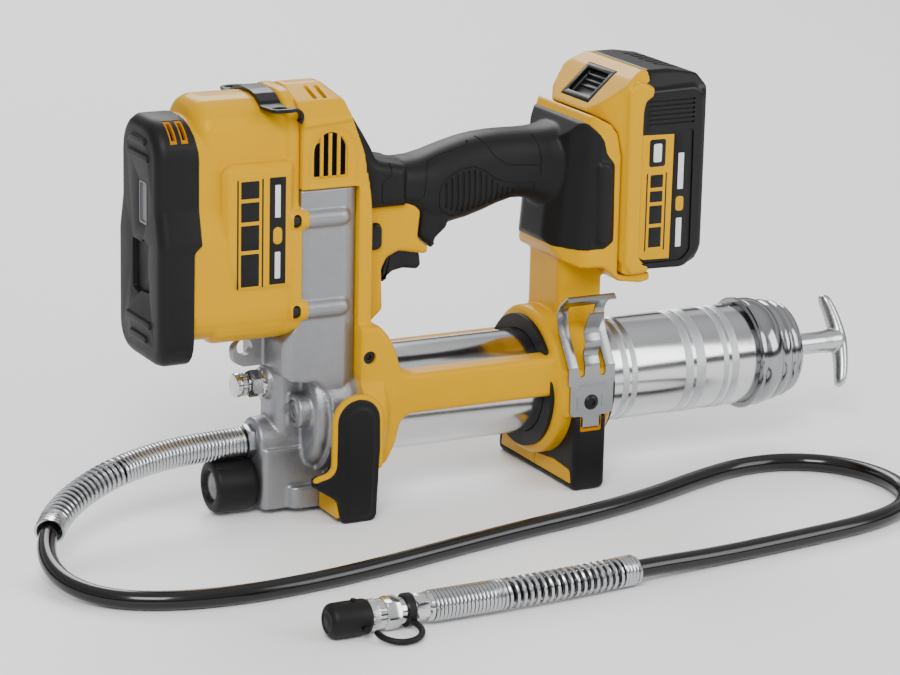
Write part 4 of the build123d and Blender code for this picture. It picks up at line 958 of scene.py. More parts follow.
def make_collar_rings():
    """The rubber bushings in both collars."""
    outer, inner = 36.6, 28.7
    for label, x0, x1 in (("bushing_front", 14.6, 19.4), ("bushing_rear_front", 117.0, 121.4),
                          ("bushing_rear", 150.4, 154.2)):
        profile = [(x0, inner), (x0, outer - 1.4), (x0 + 0.5, outer - 0.4), (x0 + 1.4, outer),
                   (x1 - 1.4, outer), (x1 - 0.5, outer - 0.4), (x1, outer - 1.4), (x1, inner), (x0, inner)]
        dress(lathe(label, profile, z=AXIS_Z, segments=128), "tool", BLACK_RUBBER)


# ---- battery --------------------------------------------------------------------------------------
PACK_W = 38.0


def make_battery():
    plan = plan_of([(140, 16, 8), (147, 28, 10), (157, 35, 4), (159.5, PACK_W, 3), (166.7, PACK_W, 1),
                    (166.7, 34), (220, 34)])
    body = plate("body",
                 [(140.6, 204.9, 0.8), (160.6, 223.2, 5), (168, 227.4, 3), (172, 227.4, 1), (172, 124),
                  (156.4, 124), (156.4, 182, 6), (154, 194.8, 4), (150.2, 200, 4), (143, 204, 2)],
                 -PACK_W - 1, PACK_W + 1)
    boolean(body, plate("plan", plan, 100, 260, "z"), "INTERSECT")
    crown = both_sides([(PACK_W, 100), (PACK_W, 216.6, 5), (30, 228.2, 4)])
    boolean(body, plate("crown", crown, 90, 220, "x"), "INTERSECT")
    solids = [body]
    for _, side in SIDES:
        flange = [(163, 223.4, 4), (168.6, 221, 3), (173.6, 218.8, 1.5), (173.2, 213.6, 1.5),
                  (168.6, 211.4, 1.5), (167.4, 206, 1.5), (166.9, 191), (166.7, 127, 2.5),
                  (169.2, 122.8, 1.5), (173.4, 121.6, 1), (173.4, 117, 1.5), (168.2, 116.8, 2),
                  (162, 116.6, 3), (157.8, 122, 3), (157.4, 216, 5)]
        solids.append(plate("flange", flange, *span(side, 31, PACK_W), rim=outward(side, 2.2)))
    solids.append(plate("lip",
                        [(157.4, 118), (160, 116.7, 1), (170, 116.7, 1), (172, 119), (172, 126),
                         (157.4, 126)], -36, 36))
    cover = mould(join("battery_cover_shell", solids), 0.8, 4)
    edge = plate("edge",
                 [(167.2, 100), (174, 100), (174, 116.3), (174, 121.8), (168.6, 123.2, 1.5), (167.2, 127, 2)],
                 -30, 30)
    room = plate("room", [(165.6, 118.4), (300, 118.4), (300, 225.4), (165.6, 221, 1)], -35.0, 35.0)
    rail_room = plate("rail_room", rect(156, 166, 129.8, 196.2), -24.2, 24.2)
    cut(cover, room, rail_room, edge)
    latch_cut = tilted_block("latch_room", -15.4, 15.4, -11.9, 11.9, -7.9, 12.0)
    cut(cover, latch_cut)
    smooth(cover, 45)
    dress(cover, "battery_pack", YELLOW, "battery_cover")

    case_section = both_sides([(36.8, 117.4, 7), (36.8, 217, 4), (30.6, 227.4, 3)])
    case = plate("case",
                 [(171.9, 227.5), (184, 227.5, 8), (201.6, 224.4, 3), (205.8, 218, 3), (206, 130, 4),
                  (203, 122.6, 5), (196, 117.8, 5), (165.8, 117.8), (165.8, 220.6), (171.9, 224)], -38, 38)
    boolean(case, plate("section", case_section, 140, 220, "x"), "INTERSECT")
    solids = [case]
    for _, side in SIDES:
        band = [(167, 119, 3), (196, 118.2, 8), (205.4, 128, 8), (204.6, 213, 5), (199, 218.4, 4),
                (170, 217.6, 2)]
        solids.append(plate("band", band, *span(side, 33, 37.6), rim=outward(side, 1.6)))
    case = mould(join("battery_case_shell", solids), 0.8, 4)
    cut(case, tilted_block("press_room", -16, 16, -12.4, 12.4, -8.2, 6))
    for _, side in SIDES:
        cut(case,
            plate("label_recess",
                  [(160, 122.4), (193, 122.4, 6), (198.6, 127, 6), (198.2, 195, 2), (160, 195)],
                  *span(side, 36.7, 45)))
        for index in range(6):
            z = 199 + index * 2.5
            cut(case,
                plate("grip_rib",
                      [(168.6, z - 0.55, 0.5), (198.4, z - 0.5, 0.5), (198.4, z + 0.6, 0.5),
                       (168.6, z + 0.55, 0.5)], *span(side, 36.5, 45)))
    for index in range(5):
        y = -16 + index * 8
        cut(case, plate("top_rib", rect(184, 199, y - 1.6, y + 1.6, 1), 222.8, 240, "z"))
    smooth(case, 45)
    dress(case, "battery_pack", BLACK_PLASTIC, "battery_case")


def make_battery_labels():
    """Plain blocks and ticks where the real pack has its print."""
    def print_mark(label, corners, look=LABEL_DARK, rise=0.2):
        mark(label, corners, look, "battery_pack", 36.5, 36.75 + rise, lambda side: outward(side, 0.06))

    print_mark("pack_label_yellow",
               [(165.9, 124.6, 5), (186.0, 124, 0.3), (186.4, 192.6, 0.3), (165.9, 193.2, 0.3)], YELLOW, 0.1)
    print_mark("pack_label_dark", [(186.4, 124, 0.3), (192.5, 123.6, 5), (197.4, 128, 5), (196.8, 192.4, 2),
                                   (186.8, 192.6, 0.3)], rise=0.1)
    print_mark("pack_rule_front", rect(170.2, 171, 129, 172, 0.3))
    print_mark("pack_rule_rear", rect(182, 182.8, 129, 172, 0.3))
    for index, (z0, z1) in enumerate(((131, 142), (144, 154), (156, 162), (164, 171))):
        print_mark(f"pack_block_{index}", rect(172.6, 180.4, z0, z1, 0.4))
    print_mark("pack_badge", rect(171.4, 181.4, 175.5, 190.5, 1.4))
    print_mark("pack_badge_mark", rect(174, 179, 178, 188, 1), LABEL_PALE, 0.3)
    for index, (z0, z1) in enumerate(((130, 146), (162, 182))):
        print_mark(f"pack_tick_{index}", rect(189.6, 193, z0, z1, 0.4), LABEL_PALE, 0.3)
    print_mark("pack_dot", rect(188.9, 193.7, 150, 158, 1.6), YELLOW, 0.3)


def tilted_block(name, y0, y1, a0, a1, b0, b1, rims=(0, 0)):
    """A block in the slanted frame of the pack's front shoulder: a runs up the slope and b out of it."""
    origin, along = Vector((153.6, 216.5)), Vector((17.6, 16.1)).normalized()
    out = Vector((-along.y, along.x))
    corners = []
    for a, b in ((a0, b0), (a1, b0), (a1, b1), (a0, b1)):
        spot = origin + along * a + out * b
        corners.append((spot.x, spot.y, 1.0))
    return plate(name, corners, y0, y1, rim=rims)


def make_release():
    """The release button: a dished black frame with steps for the thumb."""
    frame = tilted_block("release_frame", -15, 15, -11.5, 11.5, -4.0, 0.4, rims=(1.0, 1.0))
    cut(frame, tilted_block("dish", -11.6, 11.6, -8.2, 8.4, -2.8, 6, rims=(1.6, 1.6)))
    for a, rise in ((-2.6, -1.7), (0.9, -1.2), (4.4, -0.7)):
        boolean(frame, tilted_block("step", -9.4, 9.4, a, a + 1.7, -3.2, rise), "UNION")
    dress(bevelled(frame, 0.4, 2, 35), "battery_release", BLACK_PLASTIC, "battery_release")


make_grip()
make_collar_rings()
make_battery()
make_battery_labels()
make_release()


# ---- pump casting and what screws into it ---------------------------------------------------------
PLUG_Y, PLUG_Z = 18, 57.4


def make_casting():
    side = [(-30, 178), (2, 178), (2, 58), (-12, 60, 3), (-14.6, 70, 3), (-20, 75, 3), (-34, 76.4, 3),
            (-38.4, 79.4, 3), (-38.4, 97, 4), (-30, 108)]
    case = plate("case", side, -CASE_HALF_W, CASE_HALF_W)
    plan = plan_of([(-39, 25), (-34, 28, 4), (-26, 30, 1), (-5.4, 30, 1), (3, 26.6)])
    boolean(case, plate("plan", plan, 40, 200, "z"), "INTERSECT")
    solids = [
        case,
        lathe("cup",
              [(-21, 0), (-21, 27), (-19.6, 30), (-16.6, 31.6), (-13, 32), (-13, 34.4), (9, 34.4), (9, 0)],
              z=AXIS_Z, segments=120),
        plate("block", [(-44, -14.6, 4), (-8, -14.6, 2), (-8, 14.6, 2), (-44, 14.6, 4)], 3, OUTLET_Z - 2, "z",
              rim=(1.6, 0)),
        plate("base", rect(-30, 0, -19, 19, 6), 3, 15, "z", rim=(1.6, 0)),
        plate("tower", [(-36, -12.4, 7), (-8, -12.4, 2), (-8, 12.4, 2), (-36, 12.4, 7)], 36, 92, "z"),
        lathe("outlet_boss", [(-44.6, 0), (-44.6, 11.6), (-43.4, 12.8), (-20, 13.2), (-20, 0)], z=OUTLET_Z),
        lathe("bleed_boss", [(-38.6, 0), (-38.6, 8.2), (-37.6, 9), (-28, 9.2), (-28, 0)], z=BLEED_Z),
        plate("ear",
              [(-57.4, 90.4, 5), (-55.6, 82.6, 3), (-50, 79.6, 3), (-34, 79.6), (-34, 97.6), (-47, 98.4, 6)],
              -2.5, 2.5),
        lathe("sump", [(0.8, 0), (0.8, 9.6), (4, 11), (12, 11), (12, 0)], axis="z", x=PLUNGER_X),
    ]
    for _, side in SIDES:
        solids.append(lathe("plug_boss", [(-28.6, 0), (-28.6, 8.4), (-27.6, 9.2), (-14, 9.2), (-14, 0)],
                            y=side * PLUG_Y, z=PLUG_Z))
        for z in SCREW_Z:
            solids.append(lathe("rib",
                                [(-31, 0), (-31, 5.3), (-7.4, 5.3), (-4.8, 4.6), (-2.8, 2.8), (-2.1, 0)],
                                y=side * (SCREW_Y + 0.2), z=z, segments=48))
    casting = mould(join("pump_casting_body", solids), 0.8, 4)
    cut(casting, lathe("barrel_room", rod(-10, 40, BARREL_R + 0.15), z=AXIS_Z),
        lathe("hang_hole", rod(-4, 4, 4.4), axis="y", x=-49.5, z=90.5, segments=48),
        *[lathe("plug_hole", rod(-34, -27.2, 6.3), y=side * PLUG_Y, z=PLUG_Z) for _, side in SIDES],
        box("below", -60, 60, -60, 60, -20, 0.8))
    smooth(casting, 45)
    dress(casting, "tool", CAST, "pump_casting")


def hexagon(across, y, z, turn=0.0):
    """A hexagon's corners from its width across flats."""
    reach = across / 2 / math.cos(math.pi / 6)
    return [(y + reach * math.cos(turn + math.pi * k / 3), z + reach * math.sin(turn + math.pi * k / 3))
            for k in range(6)]


def hex_nut(name, x0, x1, across, z, y=0.0, turn=0.0, bore=0.0):
    """A hexagon along X with both ends chamfered as on a real nut."""
    nut = plate(name, hexagon(across, y, z, turn), x0, x1, "x")
    reach = across / 2 / math.cos(math.pi / 6)
    dome = lathe("dome",
                 [(x0, 0), (x0, across / 2 * 0.97), (x0 + 1.0, reach + 0.02), (x1 - 1.0, reach + 0.02),
                  (x1, across / 2 * 0.97), (x1, 0)], y=y, z=z)
    boolean(nut, dome, "INTERSECT")
    if bore:
        cut(nut, lathe("bore", rod(x0 - 1, x1 + 1, bore), y=y, z=z))
    return bevelled(nut, 0.25, 2, 30)


def knurled_drum(name, x0, x1, radius, z, y, teeth=36, rise=0.35):
    """A drum whose face carries raised diamonds."""
    rows = max(2, int((x1 - x0) / 0.35))
    around = teeth * 6
    rings = []
    for row in range(rows + 1):
        x = x0 + (x1 - x0) * row / rows
        lean = teeth * (x - x0) / radius
        fade = min(1.0, (row + 0.001) / 1.5, (rows - row + 0.001) / 1.5)
        ring = []
        for step in range(around):
            angle = 2 * math.pi * step / around
            ridge = abs(math.sin((teeth * angle + lean) / 2)) * abs(math.sin((teeth * angle - lean) / 2))
            r = radius - rise + rise * ridge * fade
            ring.append((x, y + r * math.cos(angle), z + r * math.sin(angle)))
        rings.append(ring)
    return loft(name, rings, angle=60)


def make_fittings():
    """The outlet nut, the bleeder with its knob, and the two socket plugs."""
    dress(hex_nut("outlet_hex", -48.6, -44.2, 16.0, OUTLET_Z, turn=0.2, bore=4.95), "tool", STEEL,
          "outlet_nut")
    collar = lathe("bleeder_collar", [(-40.2, 0), (-40.2, 7.4), (-39.6, 7.9), (-38.2, 7.9), (-38.2, 0)],
                   z=BLEED_Z)
    dress(collar, "tool", CHROME)
    body = hex_nut("bleeder_hex", -46.4, -40.0, 13.0, BLEED_Z, turn=math.pi / 6)
    dress(body, "tool", CHROME, "bleeder_body")
    neck = lathe("bleeder_neck", [(-48.2, 0), (-48.2, 4.4), (-47.6, 5.2), (-46.2, 5.2), (-46.2, 0)],
                 z=BLEED_Z)
    dress(neck, "tool", CHROME)
    knob = lathe("bleeder_knob_turned",
                 [(-54.6, 0), (-54.6, 5.6), (-54.2, 6.3), (-53.2, 6.6), (-52.2, 6.5), (-52.0, 5.2),
                  (-51.2, 5.2), (-51.0, 6.2), (-49.0, 6.2), (-48.4, 5.8), (-48.0, 0)], z=BLEED_Z)
    flutes = [lathe("flute", rod(-51.1, -48.0, 0.5), y=6.4 * math.cos(2 * math.pi * k / 24),
                    z=BLEED_Z + 6.4 * math.sin(2 * math.pi * k / 24), segments=10) for k in range(24)]
    cut(knob, join("flutes", flutes))
    smooth(knob, 30)
    dress(knob, "bleeder_knob", CHROME, "bleeder_knob")
    for name, side in SIDES:
        ring = lathe(f"socket_plug_{name}",
                     [(-28.0, 0), (-28.0, 4.9), (-27.4, 5.9), (-26.4, 5.9), (-26.4, 0)], y=side * PLUG_Y,
                     z=PLUG_Z, segments=48)
        cut(ring, plate("socket", hexagon(5.6, side * PLUG_Y, PLUG_Z, 0.3), -34, -26.8, "x"))
        smooth(ring)
        replaced = ("side_plug",) if side < 0 else ()
        dress(ring, "tool", STEEL, *replaced)


def make_lamp():
    """The rubber boot of the work lamp, with its notches, lens and reflector."""
    boot = lathe("lamp_boot_rubber",
                 [(-66.0, 0), (-66.0, 7.6), (-68.0, 8.6), (-68.4, 9.6), (-68.4, 11.6), (-67.6, 13.2),
                  (-66.0, 14.2), (-48.6, 14.2), (-46.4, 13.6), (-45.0, 12.2), (-45.0, 0)], z=LAMP_Z)
    notches = [plate("notch", [(side * 9 - 1.6, LAMP_Z + 11.0, 1), (side * 9 + 1.6, LAMP_Z + 11.0, 1),
                               (side * 9 + 1.6, LAMP_Z + 17), (side * 9 - 1.6, LAMP_Z + 17)], -70, -64.5, "x")
               for _, side in SIDES]
    cut(boot, *notches)
    dress(bevelled(boot, 0.3, 2, 40), "tool", BLACK_RUBBER, "lamp_boot")
    lens = lathe("lamp_lens_moulded",
                 [(-67.4, 0), (-67.3, 2.6), (-67.0, 4.8), (-66.4, 6.8), (-65.2, 7.4), (-64.9, 7.4),
                  (-64.9, 0)], z=LAMP_Z, segments=64)
    dress(lens, "tool", LENS, "lamp_lens")
    cup = lathe("lamp_reflector",
                [(-66.3, 7.0), (-66.1, 7.4), (-65.8, 7.4), (-65.6, 2.0), (-65.6, 0), (-65.95, 0),
                 (-65.95, 2.2)], z=LAMP_Z, segments=64)
    dress(cup, "tool", STEEL)


# ---- feet -----------------------------------------------------------------------------------------
def make_feet():
    pad = inset(rounded_outline(FRONT_PAD), 0.1)
    core = plate("core", pad, -FOOT_W + 0.6, FOOT_W - 0.6, rim=(0.8, 0.8))
    solids = [core]
    for _, side in SIDES:
        inner = [(-8.6, 2.5, 4), (-9.8, 63.4, 10), (7.0, 63.4, 10), (7.6, 40, 8), (6.2, 2.5, 4)]
        solids.append(plate("panel", inner, *span(side, 38, FOOT_W + 0.2), rim=outward(side, 1.1),
                            chamfer=True))
    foot = mould(join("front_foot_rubber", solids), 0.8, 3)
    cut(foot, lathe("barrel_gap", rod(-60, 60, COLLAR_R + 0.1), z=AXIS_Z),
        plate("case_gap", rect(-40, 2.2, 3, 100), -34.6, 34.6),
        plate("frame_gap", rect(1.6, 40, 12, 100), -34.6, 34.6), box("low", -60, 60, -60, 60, -20, 0.0))
    smooth(foot, 45)
    dress(foot, "tool", BLACK_RUBBER, "front_foot")
    for name, side in SIDES:
        outline = [(side * 41.5, 3.2, 0.8), (side * 39.4, 12.4, 3), (side * 30, 15.6, 3),
                   (side * 19.5, 16.4, 1), (side * 19.5, 3.2, 0.8)]
        bar = plate(f"front_foot_bar_{name}", outline, -13.6, -10.0, "x", rim=(0.5, 0))
        dress(bar, "tool", YELLOW)

    rear = plate("rear_core", [(127.3, 0, 3), (147, 0, 4), (147, 42), (127.3, 42)], -FOOT_W + 0.4,
                 FOOT_W - 0.4, rim=(2.6, 2.6))
    rear_foot = mould(join("rear_foot_rubber", [rear]), 0.8, 3)
    cut(rear_foot, lathe("barrel_gap", rod(60, 200, COLLAR_R + 0.1), z=AXIS_Z),
        plate("front_inset",
              [(-40.5, 3.2, 1), (40.5, 3.2, 1), (39.0, 11.6, 3), (20, 13.2), (0, 11.4), (-20, 13.2),
               (-39.0, 11.6, 3)], 120, 128.4, "x"),
        *[plate("tab_slot", [(130.5, 33.6, 0.8), (143.5, 33.6, 0.8), (143.5, 45), (130.5, 45)],
                *span(side, 40.6, 60)) for _, side in SIDES])
    smooth(rear_foot, 45)
    dress(rear_foot, "tool", BLACK_RUBBER, "rear_foot")
    bar = plate("rear_foot_bar",
                [(-39.9, 3.7, 0.8), (39.9, 3.7, 0.8), (38.4, 11.2, 3), (20, 12.6), (0, 10.8), (-20, 12.6),
                 (-38.4, 11.2, 3)], 127.2, 129.0, "x", rim=(0.5, 0))
    cut(bar, lathe("barrel_gap", rod(60, 200, COLLAR_R + 0.4), z=AXIS_Z),
        box("line", 126, 127.6, -0.35, 0.35, 0, 20))
    smooth(bar)
    dress(bar, "tool", YELLOW)
    for name, side in SIDES:
        liner = plate(f"slot_liner_{name}",
                      [(130.6, 33.7, 0.8), (143.4, 33.7, 0.8), (143.4, 42), (130.6, 42)],
                      *span(side, 40.7, 43.2))
        cut(liner,
            plate("inner", [(132, 35.4, 0.5), (142.2, 35.4, 0.5), (142.2, 50), (132, 50)],
                  *span(side, 41.4, 60)))
        smooth(liner)
        # The slot liner wears the darker yellow: painted shade inside the slot.
        dress(liner, "tool", SHADED_YELLOW)


# ---- barrel, end cap and T-handle -----------------------------------------------------------------
CAP_SHIFT = 4.0          # how far behind the CAD cap the photo shows it
KNURLS = ((165.5, 169.3), (171.2, 174.8), (205.6, 210.6), (212.6, 218.6), (230.2, 233.6), (235.6, 240.2))


def make_barrel():
    tube = lathe("barrel_tube_turned",
                 [(-8, 26.6), (-8, BARREL_R), (255.5, BARREL_R), (257, BARREL_R - 0.6), (257, 26.6),
                  (-8, 26.6)], z=AXIS_Z, segments=160)
    dress(tube, "barrel", BRUSHED, "barrel_tube")
    for index, (x0, x1) in enumerate(KNURLS):
        ridges, sides = 100, 800
        rows = int((x1 - x0) / 0.4)
        rings = []
        for row in range(rows + 1):
            x = x0 + (x1 - x0) * row / rows
            fade = 0.0 if row in (0, rows) else 1.0
            ring = []
            for step in range(sides):
                angle = 2 * math.pi * step / sides
                ridge = math.cos(ridges * (angle - (x - x0) / BARREL_R * 0.9))
                r = BARREL_R + 0.02 + fade * (0.17 + 0.15 * ridge)
                ring.append((x, r * math.cos(angle), AXIS_Z + r * math.sin(angle)))
            rings.append(ring)
        dress(loft(f"barrel_knurl_{index}", rings, closed_ends=False, angle=70), "barrel", SATIN)
    profile = [
        (250.2, 28.6), (250.2, 30.9), (250.8, 31.5), (251.8, 31.5), (252.4, 30.9), (252.4, 30.2),
        (253.4, 30.0), (254.2, 30.2), (256.0, 30.6), (259.0, 30.7), (262.0, 30.2), (264.4, 29.1),
        (265.6, 28.2), (266.4, 28.0), (267.2, 28.4), (268.8, 28.7), (270.6, 28.4), (271.8, 27.6),
        (272.4, 26.9), (273.0, 26.9), (274.2, 27.5), (275.4, 27.4), (276.4, 26.5), (276.9, 25.6),
        (277.4, 25.6), (278.6, 26.0), (279.8, 25.7), (280.8, 24.7), (281.3, 23.2), (281.6, 21.0),
        (281.6, 9.4), (281.0, 8.6), (281.0, 6.6), (279.6, 6.4), (279.6, 22.0), (262, 27.0), (254, 28.6),
        (250.2, 28.6),
    ]
    cap = lathe("barrel_end_cap_spun", [(x + CAP_SHIFT, r) for x, r in profile], z=AXIS_Z, segments=160)
    dress(cap, "barrel", DARK_METAL, "barrel_end_cap")


def make_t_handle():
    stem = lathe("stem",
                 [(283.4, 0), (283.4, 5.4), (284.0, 6.1), (300, 6.15), (312, 6.2), (318, 6.8), (324, 6.6),
                  (326.6, 4.8), (327, 0)], z=AXIS_Z, segments=72)
    rings, tilt = [], math.radians(T_TILT - 7)
    for step in range(33):
        u = -1 + 2 * step / 32
        along = 27.6 * u
        bow = 324.6 - 5.2 * u * u
        wide = (6.2 - 1.8 * abs(u)) * math.sqrt(max(0.0, 1 - abs(u) ** 14)) + 0.02
        deep = (4.6 - 1.2 * abs(u)) * math.sqrt(max(0.0, 1 - abs(u) ** 14)) + 0.02
        ring = []
        for k in range(36):
            angle = 2 * math.pi * k / 36
            x = bow + deep * math.cos(angle)
            across = wide * math.sin(angle)
            y = across * math.cos(tilt) + along * math.sin(tilt)
            z = -across * math.sin(tilt) + along * math.cos(tilt)
            ring.append((x, y, AXIS_Z + z))
        rings.append(ring)
    bar = loft("bar", rings)
    handle = mould(join("t_handle_cast", [stem, bar]), 0.6, 5)
    smooth(handle, 60)
    dress(handle, "pull_rod", CAST_BRIGHT, "t_handle")


make_casting()
make_fittings()
make_lamp()
make_feet()
make_barrel()
make_t_handle()


# ---- hose clip on the rear collar -----------------------------------------------------------------
CLIP_FACE = -42.0


def strip(name, path, x0, x1, thick):
    """A bent strip: its middle line is given as (y, z) points and it runs from x0 to x1."""
    line = [Vector(p) for p in rounded_path(path)]
    sides = [[], []]
    for index, here in enumerate(line):
        ahead = (line[min(index + 1, len(line) - 1)] - line[max(index - 1, 0)]).normalized()
        normal = Vector((-ahead.y, ahead.x))
        sides[0].append(tuple(here + normal * thick / 2))
        sides[1].append(tuple(here - normal * thick / 2))
    return plate(name, sides[0] + sides[1][::-1], x0, x1, "x", rim=(0.15, 0.15), steps=2)


def rounded_path(path, steps=4):
    """An open path with its corners rounded; corners are (a, b, radius)."""
    points = [path[0][:2]]
    for before, here, after in zip(path, path[1:], path[2:]):
        radius = here[2] if len(here) > 2 else 0
        if not radius:
            points.append(here[:2])
            continue
        corner, last, following = Vector(here[:2]), Vector(before[:2]), Vector(after[:2])
        reach = min(radius, 0.45 * (last - corner).length, 0.45 * (following - corner).length)
        start = corner + (last - corner).normalized() * reach
        end = corner + (following - corner).normalized() * reach
        for step in range(steps + 1):
            t = step / steps
            points.append(tuple(start * (1 - t) ** 2 + corner * 2 * t * (1 - t) + end * t ** 2))
    return points + [path[-1][:2]]


def make_hose_clip():
    thick = 1.2
    mid = CLIP_FACE - thick / 2
    leg_path = [(mid, 62), (mid, 69.2, 2), (mid + 12.6, 88, 6), (mid + 14.4, 97, 4), (mid + 12, 101.4, 3),
                (mid + 3.4, 108.6, 1.5), (mid + 0.8, 106.2)]
    leg_front = strip("leg", leg_path, 122.6, 128.6, thick)
    leg_rear = strip("leg", leg_path, 145.2, 151.2, thick)
    bar = strip("bar", leg_path[4:], 122.6, 151.2, thick)
    tongue = strip("tongue",
                   [(mid, 60), (mid, 71, 2), (mid + 3.0, 77, 3), (mid - 0.9, 83, 3), (mid + 3.0, 89, 3),
                    (mid - 0.4, 95, 2.5), (mid - 3.4, 100.4)], 132.6, 141.6, thick)
    outline = [(122.6, 70, 0), (122.6, 60.6, 1), (124, 59.4, 1), (124, 44.6, 2.5), (126, 42.5, 2),
               (131, 42.5, 0.6), (131, 36.2, 1), (143, 36.2, 1), (143, 42.5, 0.6), (148, 42.5, 2),
               (150.4, 44.6, 2.5), (150.4, 59.4, 1), (151.2, 60.6, 1), (151.2, 70)]
    sheet = plate("sheet", outline, CLIP_FACE - thick, CLIP_FACE)
    for x in (130.6, 143.4):
        cut(sheet,
            plate("slit", [(x - 1.9, 64.5, 1.8), (x + 1.9, 64.5, 1.8), (x + 1.9, 74), (x - 1.9, 74)], -60,
                  -30))
    for part in (leg_front, leg_rear, bar, tongue):
        boolean(sheet, part, "UNION")
    sheet.name = "hose_clip_sprung"
    depth = CLIP_FACE - thick + 0.22
    marks = [(128.4, 145.4, 57.2, 57.7), (128.4, 145.4, 61.6, 61.9), (127.8, 128.4, 46.6, 53.4),
             (128.4, 131.2, 46.6, 47.2), (128.4, 131.2, 52.8, 53.4), (143.0, 143.6, 46.6, 53.4),
             (143.6, 146.2, 46.6, 47.2)]
    marks += [(x, x + 0.9, 58.8, 60.6) for x in [128.9 + 1.55 * k for k in range(11)]]
    cut(sheet, *[box("mark", x0, x1, -60, depth, z0, z1) for x0, x1, z0, z1 in marks],
        lathe("hole", rod(-60, -30, 2.4), axis="y", x=137, z=50, segments=40))
    smooth(sheet, 35)
    dress(sheet, "tool", STAMPED, "hose_clip")
    face = CLIP_FACE - thick
    screw = lathe("clip_screw_turned",
                  [(face - 1.5, 0), (face - 1.5, 1.9), (face - 1.2, 3.2), (face - 0.5, 4.1),
                   (face - 0.02, 4.3), (face - 0.02, 2.1), (-36, 2.1), (-36, 0)], axis="y", x=137, z=50,
                  segments=48)
    cut(screw, plate("socket", hexagon(3.4, 137, 50, 0.2), face - 4, face - 0.7))
    smooth(screw, 30)
    dress(screw, "tool", BLACK_COATED, "clip_screw")


# ---- coupler, its cap and tether ------------------------------------------------------------------
def make_coupler():
    y, z = COUPLER_Y, COUPLER_Z
    front = lathe("coupler_neck",
                  [(-68, 0), (-68, 5.4), (-64.9, 5.4), (-64.9, 7.4), (-62.0, 7.4), (-61.6, 6.9), (-53.0, 6.9),
                   (-52.4, 6.7), (-45.2, 6.7), (-45.2, 5.0), (-44.6, 0)], y=y, z=z, segments=80)
    boolean(front, hex_nut("coupler_hex", -61.4, -53.2, 14.4, z, y=y, turn=0.15), "UNION")
    rear = hex_nut("coupler_rear_hex", -45.0, -37.6, 12.6, z, y=y, turn=0.35)
    boolean(front, rear, "UNION")
    boolean(front,
            lathe("collar", [(-38.2, 0), (-38.2, 6.8), (-37.4, 7.4), (-35.8, 7.4), (-35.2, 6.8), (-35.2, 0)],
                  y=y, z=z), "UNION")
    cut(front, lathe("hose_room", rod(-37.4, -30, 4.95), y=y, z=z))
    smooth(front, 30)
    front.name = "coupler_body_turned"
    dress(front, "tool", CHROME, "coupler_body")
    sleeve = knurled_drum("coupler_sleeve_knurled", -69.0, -65.0, 8.0, z, y)
    dress(sleeve, "coupler_sleeve", CHROME, "coupler_sleeve")
    cap = lathe("coupler_cap_moulded",
                [(-90.2, 0), (-90.2, 3.0), (-90.0, 3.4), (-90.0, 5.0), (-90.4, 5.2), (-90.4, 5.9),
                 (-90.0, 6.1), (-89.6, 7.2), (-88.4, 8.3), (-86.8, 8.7), (-71.4, 8.7), (-70.2, 8.5),
                 (-69.2, 8.0), (-69.2, 7.2), (-72, 7.2), (-86, 6.6), (-86, 0)], y=y, z=z, segments=96)
    nub = lathe("nub", [(z + 8.0, 0), (z + 8.0, 1.5), (z + 9.7, 1.3), (z + 10.0, 0)], axis="z", x=-76.5, y=y,
                segments=24)
    boolean(cap, nub, "UNION")
    lug = lathe("lug", [(y - 10.2, 0), (y - 10.2, 1.7), (y - 8.2, 1.9), (y - 8.2, 0)], axis="y", x=-73.6,
                z=z - 3.4, segments=24)
    boolean(cap, lug, "UNION")
    dress(bevelled(cap, 0.2, 1, 50), "coupler_cap", BLACK_RUBBER, "coupler_cap")


# ---- trigger and lock button ----------------------------------------------------------------------
def make_controls():
    trigger = plate("trigger_moulded",
                    [(28.2, 117.4, 1), (30.6, 121.6, 3), (34, 124.2, 3), (40, 125.3, 4), (48.8, 124, 1.2),
                     (50.8, 126.4, 2), (50.0, 132.4, 3), (41, 142, 8), (36, 153, 2), (30, 153, 2),
                     (31, 139, 6), (28.5, 132, 4), (26.7, 124, 4)], -7.4, 7.4, rim=(2.2, 2.2), steps=5)
    dress(trigger, "trigger", BLACK_PLASTIC, "trigger")
    button = plate("lock_button_moulded", rect(15.6, 22.4, 139.6, 153.4, 3.3),
                   -17.4, 17.4, rim=(1.0, 1.0), steps=4)
    dress(button, "lock_button", BLACK_PLASTIC, "lock_button")


make_hose_clip()
make_coupler()
make_controls()
COUPLER_PIECES = ("coupler_body_turned", "coupler_sleeve_knurled", "coupler_cap_moulded")
CORD_PIECES = [front_guard, rear_guard, frame["nodes"]["cap_tether"]]
CORD_PIECES += [bpy.data.objects[name] for name in COUPLER_PIECES]



# ---- finishes of the CAD nodes that are shown as they are -----------------------------------------
LOOKS = {
    "yellow_plastic": YELLOW, "black_rubber": BLACK_RUBBER, "black_plastic": BLACK_PLASTIC,
    "cast_aluminium": CAST, "plated_steel": CHROME, "spring_steel": SPRING, "hose_rubber": HOSE_RUBBER,
    "copper": COPPER, "steel": STEEL, "lens": LENS, "circuit_board": BOARD, "cell_sleeve": SLEEVE_BLUE,
    "black_coated": BLACK_COATED,
}
for part in frame["record"]["subparts"]:
    node = frame["nodes"][part["node"]]
    node.data.materials.clear()
    node.data.materials.append(LOOKS[part["material_slot"]])


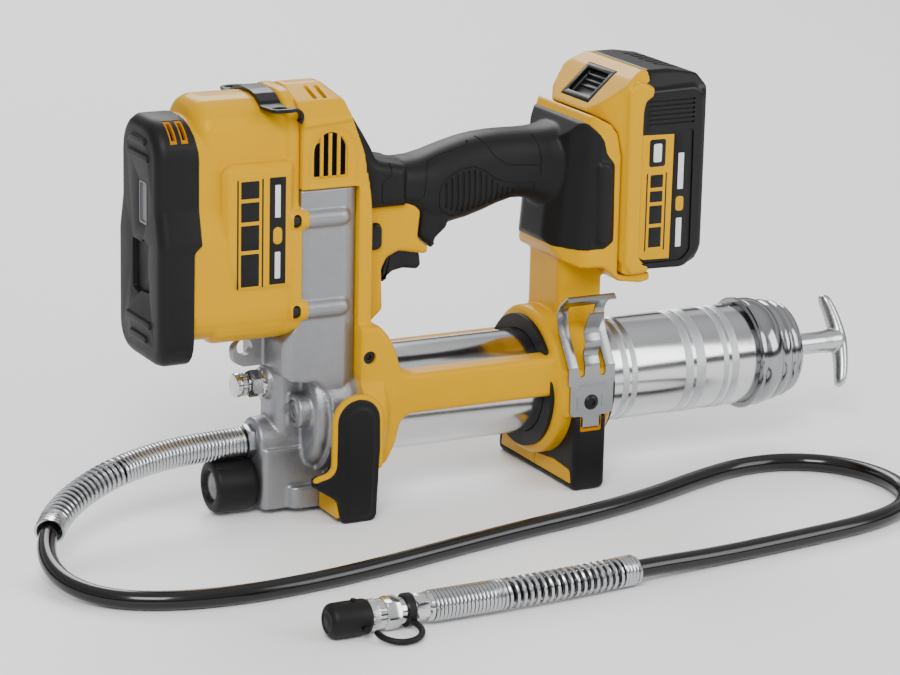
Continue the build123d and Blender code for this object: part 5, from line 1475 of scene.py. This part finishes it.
# ---- floor, backdrop and light ------------------------------------------------------------------
def make_stage():
    """A pale plain floor."""
    work = bmesh.new()
    bmesh.ops.create_grid(work, x_segments=1, y_segments=1, size=6000)
    floor = object_from_bmesh("floor", work)
    look = material("floor", (0.95, 0.95, 0.95, 1), 0.6, grain=200, bump=0.002, mottle=0.004,
                    rough_spread=0.02)
    floor.data.materials.append(look)


def area_light(name, place_at, target, size, power, size_y=None):
    data = bpy.data.lights.new(name, "AREA")
    data.energy, data.size = power, size
    if size_y:
        data.shape, data.size_y = "RECTANGLE", size_y
    lamp = add_object(name, data)
    lamp.location = place_at
    lamp.rotation_mode = "QUATERNION"
    lamp.rotation_quaternion = (Vector(target) - Vector(place_at)).to_track_quat("-Z", "Y")


def make_world():
    """A pale studio: bright overhead, darker at the horizon, so that polished metal has contrast."""
    world = bpy.data.worlds.new("studio")
    bpy.context.scene.world = world
    world.use_nodes = True
    nodes, link = world.node_tree.nodes, world.node_tree.links.new
    back = nodes["Background"]
    place_at = nodes.new("ShaderNodeTexCoord")
    split = nodes.new("ShaderNodeSeparateXYZ")
    link(place_at.outputs["Generated"], split.inputs["Vector"])
    ramp = nodes.new("ShaderNodeValToRGB")
    ramp.color_ramp.elements[0].position, ramp.color_ramp.elements[0].color = 0.0, (0.55, 0.55, 0.56, 1)
    ramp.color_ramp.elements[1].position, ramp.color_ramp.elements[1].color = 0.9, (1.0, 1.0, 1.0, 1)
    for position, value in ((0.05, 0.04), (0.17, 0.06), (0.24, 0.75), (0.42, 1.0), (0.5, 0.5)):
        element = ramp.color_ramp.elements.new(position)
        element.color = (value, value, value * 1.01, 1)
    link(split.outputs["Z"], ramp.inputs["Fac"])
    link(ramp.outputs["Color"], back.inputs["Color"])
    back.inputs["Strength"].default_value = 0.9


make_stage()
make_world()
area_light("key", (-1.2, -1.9, 1.9), (0.08, 0, 0.1), 1.1, 62)
area_light("fill", (1.6, -1.6, 1.1), (0.08, 0, 0.1), 1.3, 26)
area_light("rim", (0.5, 1.9, 1.6), (0.08, 0, 0.12), 1.2, 34)
